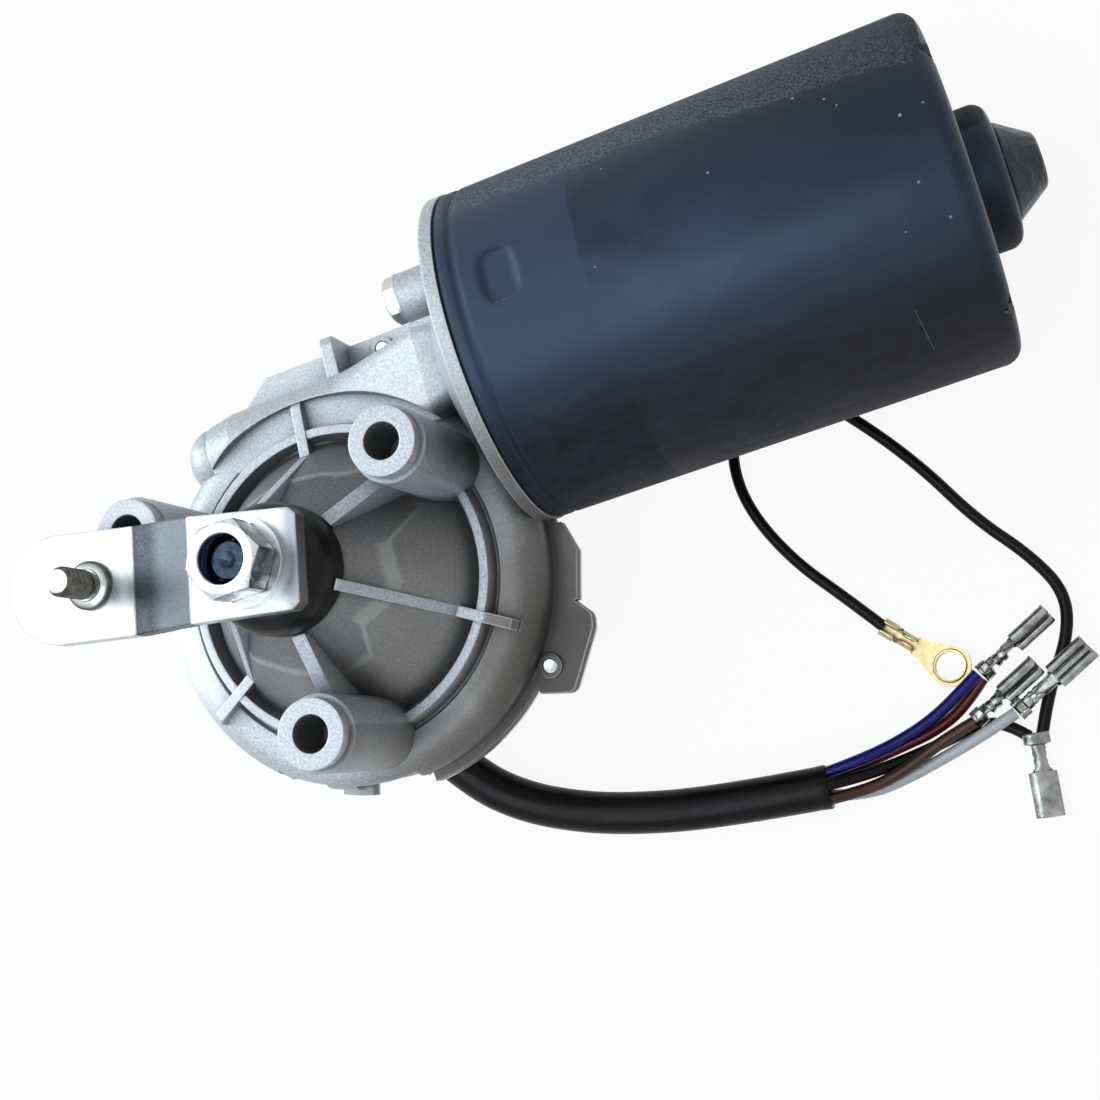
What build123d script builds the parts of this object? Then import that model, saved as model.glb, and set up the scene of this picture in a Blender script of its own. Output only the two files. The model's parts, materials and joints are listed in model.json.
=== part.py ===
from build123d import *
from math import atan, cos, degrees, hypot, pi, radians, sin, tan
import os

# Truck wiper motor: permanent-magnet motor, worm gearbox with three mounting bosses, output shaft
# with a cranked arm, and a loom that ends in push-on terminals.
# Millimetres. Z is the output shaft, z = 0 the tops of the mounting bosses, X runs along the worm
# towards the rear of the motor.

os.makedirs("parts", exist_ok=True)

# ---------------------------------------------------------------- driving dimensions
bolt_circle = 88.0
boss_angles = (30.0, 150.0, 270.0)
rib_angles = (90.0, 210.0, 330.0)

gear_module = 1.5
wheel_teeth = 56
worm_pitch_dia = 14.0
wheel_width = 10.0
tooth_addendum = 1.2
tooth_dedendum = 1.9
flank_play = 0.18

worm_depth = 53.0            # worm axis below the boss tops
can_radius = 48.0
can_front_x = 61.5
can_length = 133.5
can_wall = 2.0

shaft_radius = 7.0
crank_throw = 48.5
crank_angle = 168.6          # direction of the arm as drawn
crank_top_z = 13.5
tip_z = 21.0                 # end of the output shaft, inside the nut

flange_top_z = -60.0
flange_thickness = 3.0
gasket_thickness = 0.6
cover_sheet = 1.5
wire_radius = 1.7
sheath_radius = 6.25

# Clearances
running = 0.1                # between a turning piece and what guides it
part_gap = 0.4               # between a turning piece and a fixed one beside it

# ---------------------------------------------------------------- derived sizes
wheel_pitch_r = gear_module * wheel_teeth / 2
worm_pitch_r = worm_pitch_dia / 2
worm_y = wheel_pitch_r + worm_pitch_r
worm_z = -worm_depth
floor_z = worm_z - can_radius
can_rear_x = can_front_x + can_length
wheel_tip_r = wheel_pitch_r + tooth_addendum
wheel_root_r = wheel_pitch_r - tooth_dedendum
worm_tip_r = worm_pitch_r + tooth_addendum
worm_root_r = worm_pitch_r - tooth_dedendum
worm_lead = pi * gear_module
lead_slope = worm_lead / (2 * pi * worm_pitch_r)
wheel_top_z = worm_z + wheel_width / 2
wheel_bottom_z = worm_z - wheel_width / 2
flange_bottom_z = flange_top_z - flange_thickness
cover_top_z = flange_bottom_z - gasket_thickness
crank_thickness = 5.0
boss_r = bolt_circle / 2

motor_plane = Plane(origin=(0, worm_y, worm_z), x_dir=(0, 1, 0), z_dir=(1, 0, 0))


def save(builder, label):
    """Write one piece to its own file."""
    builder.part.label = label
    export_step(builder.part, "parts/" + label + ".step")
    faces = len(builder.part.faces())
    print(f"{label:20s} volume {builder.part.volume:10.1f}  solids {len(builder.part.solids())}  faces {faces}")


def across_motor(x):
    """Plane square to the motor axis at the given x."""
    return motor_plane.offset(x)


def beside_motor(radius, side):
    """Place in an across_motor plane at a radius and an angle counted from +Z towards +Y."""
    return (radius * sin(radians(side)), radius * cos(radians(side)))


def at_angle(radius, angle, z=0.0):
    """Point at a radius and an angle about the output shaft."""
    return (radius * cos(radians(angle)), radius * sin(radians(angle)), z)


# ================================================================ gear housing
hub_r = 15.0
hub_top_z = 2.0
cone_top_r, cone_top_z = 17.2, -9.0
rib_start_r = 17.7            # ribs start beside the rubber boot
pocket_r, pocket_z = 41.0, -45.0
ring_r, ring_top_z, ring_width = 43.7, -40.2, 2.4
step_in_r, step_out_r, step_z = 47.4, 50.0, -43.8
wall_r = 57.8
boss_top_r, boss_body_r, boss_step = 9.15, 10.3, 4.6
tapped_r, tapped_depth = 5.0, 18.0
tube_r = 12.2
tube_end_x = -31.0
tube_bore_r = worm_tip_r + 0.6
cavity_r = wheel_tip_r + 1.3
cavity_top_z = wheel_top_z + 0.9
bush_r = 10.0
bearing_r, bearing_x, bearing_length = 11.0, 55.5, 9.0
bolt_ring_r, bolt_sides = can_radius - 7.0, (17.0, 197.0)
bolt_r = 3.0
through_screws = ((48.2, -38.4), (24.0, 66.8))
blind_screws = ((-14.0, 58.5), (-16.5, -51.0), (-52.2, 10.0))
screw_spots = through_screws + blind_screws
bolt_spots = [beside_motor(bolt_ring_r, side) for side in bolt_sides]
screw_r, screw_tip_z = 2.3, flange_top_z + 1.6
screw_pad_r, screw_pad_h = 3.5, 1.4
arch_r = 54.4                 # the tube and neck stop at this radius above the step
neck_start_x, neck_front_x, neck_back_x = 12.0, 41.0, 54.0
neck_top_z, neck_bottom_z = -36.5, -66.0
straight_edge_y = 71.5
recess_r = 56.3               # flange edge beside the bottom tab
hollow_height = 8.0            # conical hollow above the wheel chamber
bell_x = 50.0
bell_foot_x, bell_foot_r, bell_edge_r = 47.5, 20.0, 44.0
mount_disc = 3.6
rib_half = 1.5
spigot_r = can_radius - can_wall - running

def flange_outline():
    """Outline of the joint face, in the current sketch: round, with a straight edge, an ear and a tab."""
    Circle(60.4)
    Polygon((-28.0, 55.0), (-23.5, 64.5), (-15.5, straight_edge_y), (58.0, straight_edge_y), (58.0, 0.0),
            (62.0, 0.0), (64.4, -9.0), (60.6, -22.5), (0.0, -20.0), (-28.0, 20.0), align=None)
    with BuildSketch(mode=Mode.PRIVATE) as ear:
        Polygon((58.0, -20.5), (63.6, -27.5), (62.8, -31.5), (52.5, -47.4), (43.0, -45.0), (40.0, -20.0),
                align=None)
        fillet(ear.vertices().sort_by(Axis.X)[-4:], 3.0)
    add(ear.sketch)
    edge_recesses(Mode.SUBTRACT)


def edge_recesses(mode):
    """Two shallow recesses of the lower edge, with a short tab left between them."""
    for start, end in ((-128.0, -112.0), (-103.0, -84.0)):
        with BuildSketch(mode=Mode.PRIVATE) as recess:
            Circle(80.0)
            Circle(recess_r, mode=Mode.SUBTRACT)
            Polygon((0, 0), at_angle(120.0, start)[:2], at_angle(120.0, end)[:2], align=None,
                    mode=Mode.INTERSECT)
        add(recess.sketch, mode=mode)


with BuildPart() as gear_housing:
    # Worm tube with a domed end
    with BuildSketch(Plane.XY.offset(worm_z)):
        with BuildLine():
            Polyline((tube_end_x - 9.5, worm_y), (neck_back_x, worm_y), (neck_back_x, worm_y + tube_r),
                     (tube_end_x + 8.0, worm_y + tube_r), (tube_end_x, worm_y + tube_r - 1.4),
                     (tube_end_x, worm_y + tube_r - 2.0))
            TangentArc((tube_end_x, worm_y + tube_r - 2.0), (tube_end_x - 9.5, worm_y + 2.0),
                       tangent=(-1, 0.15))
            Line((tube_end_x - 9.5, worm_y + 2.0), (tube_end_x - 9.5, worm_y))
        make_face()
    revolve(axis=Axis((0, worm_y, worm_z), (1, 0, 0)))

    # Neck: the tube opens into a boxy section and narrows a little towards the end bell
    neck_height = neck_top_z - neck_bottom_z
    neck_lift = (neck_top_z + neck_bottom_z) / 2 - worm_z
    with BuildSketch(across_motor(neck_start_x)):
        Circle(tube_r)
    with BuildSketch(across_motor(neck_front_x)):
        with Locations((0, neck_lift)):
            RectangleRounded(27.0, neck_height, 4.5)
    loft()
    with BuildSketch(across_motor(neck_front_x)):
        with Locations((0, neck_lift)):
            RectangleRounded(27.0, neck_height, 4.5)
    with BuildSketch(across_motor(neck_back_x)):
        with Locations((1.5, neck_lift)):
            RectangleRounded(22.0, neck_height, 4.5)
    loft()

    # Solid web from the tube down to the flange
    with BuildSketch(Plane.XY.offset(worm_z)):
        with Locations(((tube_end_x + neck_back_x) / 2 - 2, worm_y)):
            Rectangle(neck_back_x - tube_end_x - 8, 2 * tube_r - 1.0)
    extrude(amount=flange_bottom_z - worm_z)

    # Tube and neck stop at an arch around the gear case
    with BuildSketch(Plane.XY.offset(step_z)):
        Circle(arch_r)
    extrude(amount=50.0, mode=Mode.SUBTRACT)

    # Turned outline: hub, conical panels, ring rib, groove, step and rounded shoulder
    with BuildSketch(Plane.XZ):
        with BuildLine():
            Polyline(
                (0, flange_bottom_z), (0, hub_top_z), (hub_r, hub_top_z), (hub_r, cone_top_z + 1.5),
                (cone_top_r, cone_top_z), (pocket_r, pocket_z),
                (ring_r - ring_width / 2, ring_top_z), (ring_r + ring_width / 2, ring_top_z),
                (ring_r + ring_width / 2 + 1.2, pocket_z), (step_in_r - 0.8, pocket_z),
                (step_in_r, step_z), (step_out_r, step_z),
            )
            TangentArc((step_out_r, step_z), (wall_r, step_z - 12.0), tangent=(1, 0))
            Polyline((wall_r, step_z - 12.0), (wall_r, flange_bottom_z), (0, flange_bottom_z))
        make_face()
    revolve(axis=Axis.Z)

    # Radial ribs between the bosses run down the panels, cross the ring rib and end on the step
    with BuildPart(mode=Mode.PRIVATE) as radial_rib:
        with BuildSketch(Plane.XZ):
            Polygon(
                (hub_r - 2, cone_top_z), (rib_start_r, cone_top_z), (rib_start_r, -2.4),
                (37.5, ring_top_z + 1.0), (53.0, ring_top_z - 0.6), (54.4, ring_top_z - 2.4),
                (54.4, pocket_z - 4.0), (hub_r - 2, pocket_z - 4.0), align=None,
            )
        extrude(amount=rib_half, both=True)
    for angle in rib_angles:
        add(radial_rib.part.rotate(Axis.Z, angle))

    # Buttress from the hub to each boss
    with BuildPart(mode=Mode.PRIVATE) as buttress:
        with BuildSketch(Plane.XZ):
            Polygon(
                (hub_r - 2, cone_top_z), (rib_start_r, cone_top_z), (rib_start_r, -6.6),
                (boss_r - boss_top_r, -15.6), (boss_r, -15.6),
                (boss_r, pocket_z), (hub_r - 2, pocket_z), align=None,
            )
        extrude(amount=1.9, both=True)
    for angle in boss_angles:
        add(buttress.part.rotate(Axis.Z, angle))

    # Mounting bosses: a short machined head on a heavier body
    boss_spots = [at_angle(boss_r, angle)[:2] for angle in boss_angles]
    with BuildSketch(Plane.XY):
        with Locations(*boss_spots):
            Circle(boss_top_r)
    extrude(amount=-boss_step - 1)
    with BuildSketch(Plane.XY.offset(-boss_step)):
        with Locations(*boss_spots):
            Circle(boss_body_r)
    extrude(amount=flange_bottom_z + boss_step)

    # Cover flange, with a pad round each screw that comes through
    with BuildSketch(Plane.XY.offset(flange_top_z)):
        flange_outline()
    extrude(amount=-flange_thickness)
    with BuildSketch(Plane.XY.offset(flange_top_z)):
        with Locations(*through_screws):
            Circle(screw_pad_r)
    extrude(amount=screw_pad_h)
    with BuildSketch(Plane.XY.offset(flange_bottom_z)):
        edge_recesses(Mode.ADD)
    extrude(amount=15.0, mode=Mode.SUBTRACT)

    # End bell, plate under the case rim and spigot inside it
    with BuildSketch(Plane.XY.offset(worm_z)):
        Polygon((bell_foot_x, worm_y), (bell_foot_x, worm_y + bell_foot_r),
                (can_front_x - mount_disc, worm_y + bell_edge_r),
                (can_front_x - mount_disc, worm_y + can_radius + 0.3), (can_front_x, worm_y + can_radius + 0.3),
                (can_front_x, worm_y + spigot_r), (can_front_x + 3.0, worm_y + spigot_r),
                (can_front_x + 3.0, worm_y), align=None)
    revolve(axis=Axis((0, worm_y, worm_z), (1, 0, 0)))

    # Bosses of the two motor bolts
    with BuildSketch(across_motor(bell_x - 0.5)):
        with Locations(*bolt_spots):
            Circle(6.6)
    extrude(amount=can_front_x - mount_disc - bell_x + 1.0)

    # Upright gusset between the tube and the straight flange edge
    with BuildSketch(Plane.YZ.offset(11.0)):
        Polygon((worm_y + 4, flange_bottom_z), (72.6, flange_bottom_z), (72.6, -49.5), (70.0, -48.0),
                (worm_y + 4, -48.0), align=None)
    extrude(amount=1.9, both=True)

    # Flat joint face for the cover; only the end bell reaches lower
    with BuildSketch(Plane.XY.offset(flange_bottom_z)):
        with Locations((bell_x - 60.0, 0)):
            Rectangle(120.0, 200.0)
    extrude(amount=-40.0, mode=Mode.SUBTRACT)

    # Inside: wheel chamber, hub hollow, bush bore, worm bore and bearing seat
    with BuildSketch(Plane.XY.offset(flange_bottom_z)):
        Circle(cavity_r)
    extrude(amount=cavity_top_z - flange_bottom_z, mode=Mode.SUBTRACT)
    with BuildSketch(Plane.XY.offset(cavity_top_z)):
        Circle(22.0)
    extrude(amount=hollow_height, taper=30.0, mode=Mode.SUBTRACT)
    with BuildSketch(Plane.XY.offset(cavity_top_z)):
        Circle(bush_r)
    extrude(amount=hub_top_z - cavity_top_z, mode=Mode.SUBTRACT)
    with BuildSketch(across_motor(tube_end_x - 4.0)):
        Circle(tube_bore_r)
    extrude(amount=can_front_x + 4.0 - tube_end_x + 4.0, mode=Mode.SUBTRACT)
    with BuildSketch(across_motor(bearing_x)):
        Circle(bearing_r)
    extrude(amount=bearing_length, mode=Mode.SUBTRACT)

    # Holes: tapped bosses, cover screws and motor bolts
    with BuildSketch(Plane.XY):
        with Locations(*boss_spots):
            Circle(tapped_r)
    extrude(amount=-tapped_depth, mode=Mode.SUBTRACT)
    with BuildSketch(Plane.XY.offset(flange_bottom_z)):
        with Locations(*screw_spots):
            Circle(screw_r)
    extrude(amount=screw_tip_z + 0.4 - flange_bottom_z, mode=Mode.SUBTRACT)
    with BuildSketch(across_motor(bell_x - 0.5)):
        with Locations(*bolt_spots):
            Circle(bolt_r + running)
    extrude(amount=can_front_x + 3.5 - bell_x, mode=Mode.SUBTRACT)
save(gear_housing, "gear_housing")

# ================================================================ cover, gasket and screws
cover_body_r = 49.0
cover_floor_r = 46.0
cover_rim_z = cover_top_z - cover_sheet
screw_head_r, screw_head_h = 4.6, 3.2


def cover_outline():
    """Outline shared by the cover rim and its gasket: the joint face short of the end bell."""
    flange_outline()
    with Locations((bell_foot_x + 15.0, 41.0)):
        Rectangle(31.0, 80.0, mode=Mode.SUBTRACT)


with BuildPart(mode=Mode.PRIVATE) as cover_body:
    with BuildSketch(Plane.XZ):
        with BuildLine():
            Polyline((0, floor_z), (cover_floor_r - 4, floor_z))
            TangentArc((cover_floor_r - 4, floor_z), (cover_floor_r + 0.4, floor_z + 4.0), tangent=(1, 0))
            Polyline((cover_floor_r + 0.4, floor_z + 4.0), (cover_body_r, cover_rim_z + 1.0),
                     (0, cover_rim_z + 1.0), (0, floor_z))
        make_face()
    revolve(axis=Axis.Z)

# Where the loom leaves the cover, pointing a little downwards
grommet_r, grommet_neck_r, grommet_reach = 8.4, 6.9, 5.5
exit_direction = Vector(0.559, -0.829, -0.21).normalized()
exit_point = Vector(-2.4, -46.5, -87.2)
exit_plane = Plane(origin=exit_point + exit_direction * grommet_reach, z_dir=exit_direction)

with BuildPart() as cover_gasket:
    with BuildSketch(Plane.XY.offset(cover_top_z)):
        cover_outline()
        Circle(cavity_r + 1.0, mode=Mode.SUBTRACT)
        with Locations(*screw_spots):
            Circle(screw_r + 0.3, mode=Mode.SUBTRACT)
    extrude(amount=gasket_thickness)
save(cover_gasket, "cover_gasket")

with BuildPart() as back_cover:
    with BuildSketch(Plane.XY.offset(cover_rim_z)):
        cover_outline()
        with Locations(*screw_spots):
            Circle(screw_r + 0.3, mode=Mode.SUBTRACT)
    extrude(amount=cover_sheet)
    add(cover_body.part)
    with BuildSketch(Plane.XZ):
        Polygon((0, floor_z + cover_sheet), (cover_floor_r - 4, floor_z + cover_sheet),
                (cover_floor_r - 1.4, floor_z + 4.2), (cover_body_r - cover_sheet - 0.6, cover_top_z + 1),
                (0, cover_top_z + 1), align=None)
    revolve(axis=Axis.Z, mode=Mode.SUBTRACT)
    with BuildSketch(exit_plane):
        Circle(grommet_neck_r)
    extrude(amount=-12.0, mode=Mode.SUBTRACT)
save(back_cover, "back_cover")

with BuildPart() as cover_screws:
    for spot in screw_spots:
        with BuildSketch(Plane.XY.offset(cover_rim_z - screw_head_h)):
            with Locations(spot):
                RegularPolygon(screw_head_r, 6)
        extrude(amount=screw_head_h)
        with BuildSketch(Plane.XY.offset(cover_rim_z)):
            with Locations(spot):
                Circle(screw_r)
        extrude(amount=screw_tip_z - cover_rim_z)
save(cover_screws, "cover_screws")

# ================================================================ worm wheel and output shaft
hub_half = 7.0
wheel_hub_r = 14.0
tooth_pitch = 360.0 / wheel_teeth
twist = degrees(wheel_width * lead_slope / wheel_pitch_r)
pressure_slope = tan(radians(20.0))


def tooth_half_angle(radius):
    """Half the angle that a wheel tooth fills at a radius, straight-flanked and with play."""
    half_width = pi * gear_module / 4 - flank_play - (radius - wheel_pitch_r) * pressure_slope
    return degrees(half_width / radius)


def tooth_profile(z, turn):
    """Section of one wheel tooth at height z, turned by the helix."""
    deep = wheel_root_r - 0.8
    corners = [
        at_angle(deep, turn - tooth_half_angle(wheel_root_r)),
        at_angle(wheel_tip_r, turn - tooth_half_angle(wheel_tip_r)),
        at_angle(wheel_tip_r, turn + tooth_half_angle(wheel_tip_r)),
        at_angle(deep, turn + tooth_half_angle(wheel_root_r)),
    ]
    with BuildSketch(Plane.XY.offset(z)) as section:
        Polygon(*[corner[:2] for corner in corners], align=None)
    return section.sketch


with BuildPart(mode=Mode.PRIVATE) as wheel_tooth:
    loft([tooth_profile(wheel_bottom_z, -twist / 2), tooth_profile(wheel_top_z, twist / 2)], ruled=True)

with BuildPart() as worm_wheel:
    with BuildSketch(Plane.XY.offset(wheel_bottom_z)):
        Circle(wheel_root_r)
        Circle(wheel_hub_r, mode=Mode.SUBTRACT)
    extrude(amount=wheel_width)
    # The moulded disc is recessed on both sides between rim and hub, with six spokes left standing
    for recess_z in (wheel_bottom_z, wheel_top_z - 3.0):
        with BuildSketch(Plane.XY.offset(recess_z)):
            Circle(wheel_root_r - 4.0)
            Circle(wheel_hub_r + 3.0, mode=Mode.SUBTRACT)
            with PolarLocations(0, 6):
                with Locations((28.0, 0)):
                    Rectangle(30.0, 3.0, mode=Mode.SUBTRACT)
        extrude(amount=3.0, mode=Mode.SUBTRACT)
    with PolarLocations(0, wheel_teeth):
        add(wheel_tooth.part)
save(worm_wheel, "worm_wheel")

with BuildPart() as wheel_hub:
    with BuildSketch(Plane.XY.offset(worm_z - hub_half)):
        Circle(wheel_hub_r)
        Circle(shaft_radius, mode=Mode.SUBTRACT)
    extrude(amount=2 * hub_half)
save(wheel_hub, "wheel_hub")

groove_z = worm_z - hub_half - 1.2
with BuildPart() as output_shaft:
    with BuildSketch(Plane.XZ):
        Polygon(
            (0, groove_z - 4.0), (shaft_radius - 0.6, groove_z - 4.0), (shaft_radius, groove_z - 3.4),
            (shaft_radius, groove_z), (shaft_radius - 1.0, groove_z), (shaft_radius - 1.0, groove_z + 1.2),
            (shaft_radius, groove_z + 1.2), (shaft_radius, crank_top_z - crank_thickness),
            (6.0, crank_top_z), (6.0, tip_z - 0.8), (5.2, tip_z), (0, tip_z), align=None,
        )
    revolve(axis=Axis.Z)
save(output_shaft, "output_shaft")

with BuildPart() as retaining_ring:
    with BuildSketch(Plane.XY.offset(groove_z)):
        Circle(shaft_radius + 2.2)
        Circle(shaft_radius - 1.0, mode=Mode.SUBTRACT)
        with Locations((shaft_radius, 0)):
            Rectangle(6.0, 4.0, mode=Mode.SUBTRACT)
    extrude(amount=1.2)
save(retaining_ring, "retaining_ring")

bush_bore = shaft_radius + running
bush_length = 11.0
for label, bush_top in (("upper_bush", hub_top_z), ("lower_bush", cavity_top_z + hollow_height + bush_length)):
    with BuildPart() as bush:
        with BuildSketch(Plane.XY.offset(bush_top - bush_length)):
            Circle(bush_r)
            Circle(bush_bore, mode=Mode.SUBTRACT)
        extrude(amount=bush_length)
    save(bush, label)

washer_top = cavity_top_z + hollow_height
with BuildPart() as thrust_washer:
    with BuildSketch(Plane.XY.offset(worm_z + hub_half)):
        Circle(12.0)
        Circle(bush_bore, mode=Mode.SUBTRACT)
    extrude(amount=washer_top - (worm_z + hub_half) - part_gap)
save(thrust_washer, "thrust_washer")

with BuildPart() as shaft_boot:
    with BuildSketch(Plane.XZ):
        with BuildLine():
            Polyline((hub_r, -7.2), (17.4, -7.2), (17.4, -1.0))
            TangentArc((17.4, -1.0), (12.0, 6.4), tangent=(0, 1))
            Polyline((12.0, 6.4), (shaft_radius + 0.4, 7.4), (shaft_radius + 0.4, 5.4), (11.0, 4.4),
                     (14.0, hub_top_z), (hub_r, hub_top_z), (hub_r, -7.2))
        make_face()
    revolve(axis=Axis.Z)
save(shaft_boot, "shaft_boot")

# ================================================================ park switch
with BuildPart() as contact_disc:
    with BuildSketch(Plane.XY.offset(wheel_bottom_z - 1.2)):
        Circle(34.0)
        Circle(22.0, mode=Mode.SUBTRACT)
        with Locations((31.0, 0)):
            Rectangle(8.0, 12.0, mode=Mode.SUBTRACT)
    extrude(amount=1.2)
save(contact_disc, "contact_disc")

carrier_top = cover_top_z - 14.0
carrier_thickness = 3.0
with BuildPart() as contact_carrier:
    with BuildSketch(Plane.XY.offset(carrier_top - carrier_thickness)):
        Circle(42.0)
        with Locations((0, 30.0)):
            Rectangle(100.0, 50.0, mode=Mode.SUBTRACT)
    extrude(amount=carrier_thickness)
    with BuildSketch(Plane.XY.offset(floor_z + cover_sheet)):
        with Locations((-34.0, 0), (34.0, 0), (14.0, -32.0)):
            Circle(4.0)
    extrude(amount=carrier_top - carrier_thickness - floor_z - cover_sheet)
save(contact_carrier, "contact_carrier")

with BuildPart() as park_contacts:
    for contact_r in (25.0, 31.0):
        with BuildSketch(Plane.YZ.offset(contact_r * 0.25)):
            Polygon((-contact_r, wheel_bottom_z - 1.2 - 0.3), (-contact_r - 2, wheel_bottom_z - 1.2 - 0.3),
                    (-contact_r - 8, carrier_top + 0.6), (-contact_r - 8, carrier_top),
                    (-contact_r - 2, carrier_top), (-contact_r - 2, carrier_top + 0.6),
                    (-contact_r - 7, carrier_top + 0.9), (-contact_r - 1, wheel_bottom_z - 1.2 - 0.9),
                    (-contact_r, wheel_bottom_z - 1.2 - 0.9), align=None)
        extrude(amount=2.0, both=True)
save(park_contacts, "park_contacts")

# ================================================================ motor case and field
notch_sides, notch_half, notch_depth = (-61.0, 29.5, 119.0, 209.0), 5.0, 3.0
rear_corner_r = 5.0
nose_r, nose_length = 19.6, 9.5
case_inner_r = can_radius - can_wall
rear_inner_x = can_rear_x - can_wall
dimple_x, dimple_side = 77.8, 7.0
dimple_length, dimple_width, dimple_corner = 11.0, 16.5, 4.5
dimple_depth, dimple_slope = 1.2, 50.0       # slope of its walls, from square to the can
lug_x, lug_length = can_front_x + 6.0, 6.0

with BuildPart() as motor_case:
    with BuildSketch(Plane.XY.offset(worm_z)):
        with BuildLine():
            # Outside, from the rear nose to the open end, with one shallow rolled groove
            Polyline((can_rear_x + nose_length, worm_y), (can_rear_x + nose_length, worm_y + nose_r - 4.0))
            TangentArc((can_rear_x + nose_length, worm_y + nose_r - 4.0),
                       (can_rear_x + nose_length - 4.0, worm_y + nose_r), tangent=(0, 1))
            Polyline((can_rear_x + nose_length - 4.0, worm_y + nose_r), (can_rear_x, worm_y + nose_r),
                     (can_rear_x, worm_y + can_radius - rear_corner_r))
            TangentArc((can_rear_x, worm_y + can_radius - rear_corner_r),
                       (can_rear_x - rear_corner_r, worm_y + can_radius), tangent=(0, 1))
            Polyline((can_rear_x - rear_corner_r, worm_y + can_radius), (can_front_x + 6.0, worm_y + can_radius),
                     (can_front_x + 5.4, worm_y + can_radius - 0.6),
                     (can_front_x + 4.2, worm_y + can_radius - 0.6),
                     (can_front_x + 3.6, worm_y + can_radius), (can_front_x + 1.0, worm_y + can_radius),
                     (can_front_x, worm_y + can_radius - 0.8), (can_front_x, worm_y + case_inner_r),
                     (rear_inner_x, worm_y + case_inner_r), (rear_inner_x, worm_y + nose_r - can_wall),
                     (can_rear_x + nose_length - can_wall, worm_y + nose_r - can_wall),
                     (can_rear_x + nose_length - can_wall, worm_y),
                     (can_rear_x + nose_length, worm_y))
        make_face()
    revolve(axis=Axis((0, worm_y, worm_z), (1, 0, 0)))
    # Four pressed V notches in the rear edge
    for side in notch_sides:
        notch_plane = Plane(motor_plane.location * Location((0, 0, 0), (0, 0, 90.0 - side)))
        with BuildSketch(Plane(origin=notch_plane.origin + notch_plane.x_dir * (can_radius - 6.5),
                               x_dir=(1, 0, 0), z_dir=notch_plane.x_dir)):
            Polygon((can_rear_x + 1.0, -notch_half), (can_rear_x - notch_depth, 0),
                    (can_rear_x + 1.0, notch_half), align=None)
        extrude(amount=8.0, mode=Mode.SUBTRACT)
    # Threaded lugs inside the open end for the two long bolts
    with BuildSketch(across_motor(lug_x)):
        with Locations(*bolt_spots):
            Circle(can_radius - can_wall - bolt_ring_r + 0.2)
            Circle(bolt_r, mode=Mode.SUBTRACT)
    extrude(amount=lug_length)
    # Pressed dimples that hold the magnets apart, with sloping walls
    for side in (dimple_side, dimple_side + 180.0):
        outward = Vector(0, sin(radians(side)), cos(radians(side)))
        spot = Vector(dimple_x, worm_y, worm_z) + outward * can_radius
        with BuildSketch(Plane(origin=spot + outward, x_dir=(1, 0, 0), z_dir=outward)):
            spread = 2 * tan(radians(dimple_slope))
            RectangleRounded(dimple_length + spread, dimple_width + spread, dimple_corner + spread / 2)
        extrude(amount=-(dimple_depth + 1.0), taper=dimple_slope, mode=Mode.SUBTRACT)
save(motor_case, "motor_case")

magnet_start_x, magnet_length = 92.0, 72.0
magnet_inner_r = 35.5
with BuildPart() as field_magnets:
    with BuildSketch(across_motor(magnet_start_x)):
        Circle(case_inner_r)
        Circle(magnet_inner_r, mode=Mode.SUBTRACT)
        Rectangle(46.0, 120.0, mode=Mode.SUBTRACT)
    extrude(amount=magnet_length)
save(field_magnets, "field_magnets")

# ================================================================ armature
shaft_left_x = tube_end_x + 1.0 + part_gap
shaft_right_x = can_rear_x + nose_length - can_wall - part_gap
journal_r = 4.0
journal_length = 9.0
core_start_x, core_length, core_r = 96.0, 62.0, magnet_inner_r - 0.8
slot_count = 12
worm_length = 36.0

with BuildPart() as armature_shaft:
    with BuildSketch(across_motor(shaft_left_x)):
        Circle(journal_r)
    extrude(amount=shaft_right_x - shaft_left_x)
    with BuildSketch(across_motor(shaft_left_x + journal_length)):
        Circle(worm_root_r)
    extrude(amount=shaft_right_x - shaft_left_x - 2 * journal_length)
    # Rolled single-start right-hand thread of the worm
    with BuildLine():
        helix = Helix(worm_lead, worm_length, worm_root_r, center=(-worm_length / 2, worm_y, worm_z),
                      direction=(1, 0, 0))
    root_half = pi * gear_module / 4 - flank_play + tooth_dedendum * pressure_slope
    tip_half = pi * gear_module / 4 - flank_play - tooth_addendum * pressure_slope
    thread_depth = worm_tip_r - worm_root_r
    start = helix @ 0
    outward = Vector(0, start.Y - worm_y, start.Z - worm_z)
    with BuildSketch(Plane(origin=start, x_dir=outward, z_dir=helix % 0)):
        Polygon((-0.5, -root_half), (thread_depth, -tip_half), (thread_depth, tip_half), (-0.5, root_half),
                align=None)
    sweep(path=helix, is_frenet=True)
save(armature_shaft, "armature_shaft")

with BuildPart() as armature_core:
    with BuildSketch(across_motor(core_start_x)):
        Circle(core_r)
        Circle(worm_root_r, mode=Mode.SUBTRACT)
        with PolarLocations(core_r - 5.5, slot_count):
            SlotOverall(13.0, 6.0, mode=Mode.SUBTRACT)
        with PolarLocations(core_r, slot_count):
            Rectangle(8.0, 2.2, mode=Mode.SUBTRACT)
    extrude(amount=core_length)
save(armature_core, "armature_core")

with BuildPart() as armature_windings:
    for start_x in (core_start_x - 10.0, core_start_x + core_length):
        with BuildSketch(across_motor(start_x)):
            Circle(core_r - 3.0)
            Circle(worm_root_r + 2.0, mode=Mode.SUBTRACT)
        extrude(amount=10.0)
    fillet(armature_windings.edges().filter_by(GeomType.CIRCLE).group_by(Axis.X)[0].sort_by(SortBy.LENGTH)[-1],
           4.0)
save(armature_windings, "armature_windings")

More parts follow.
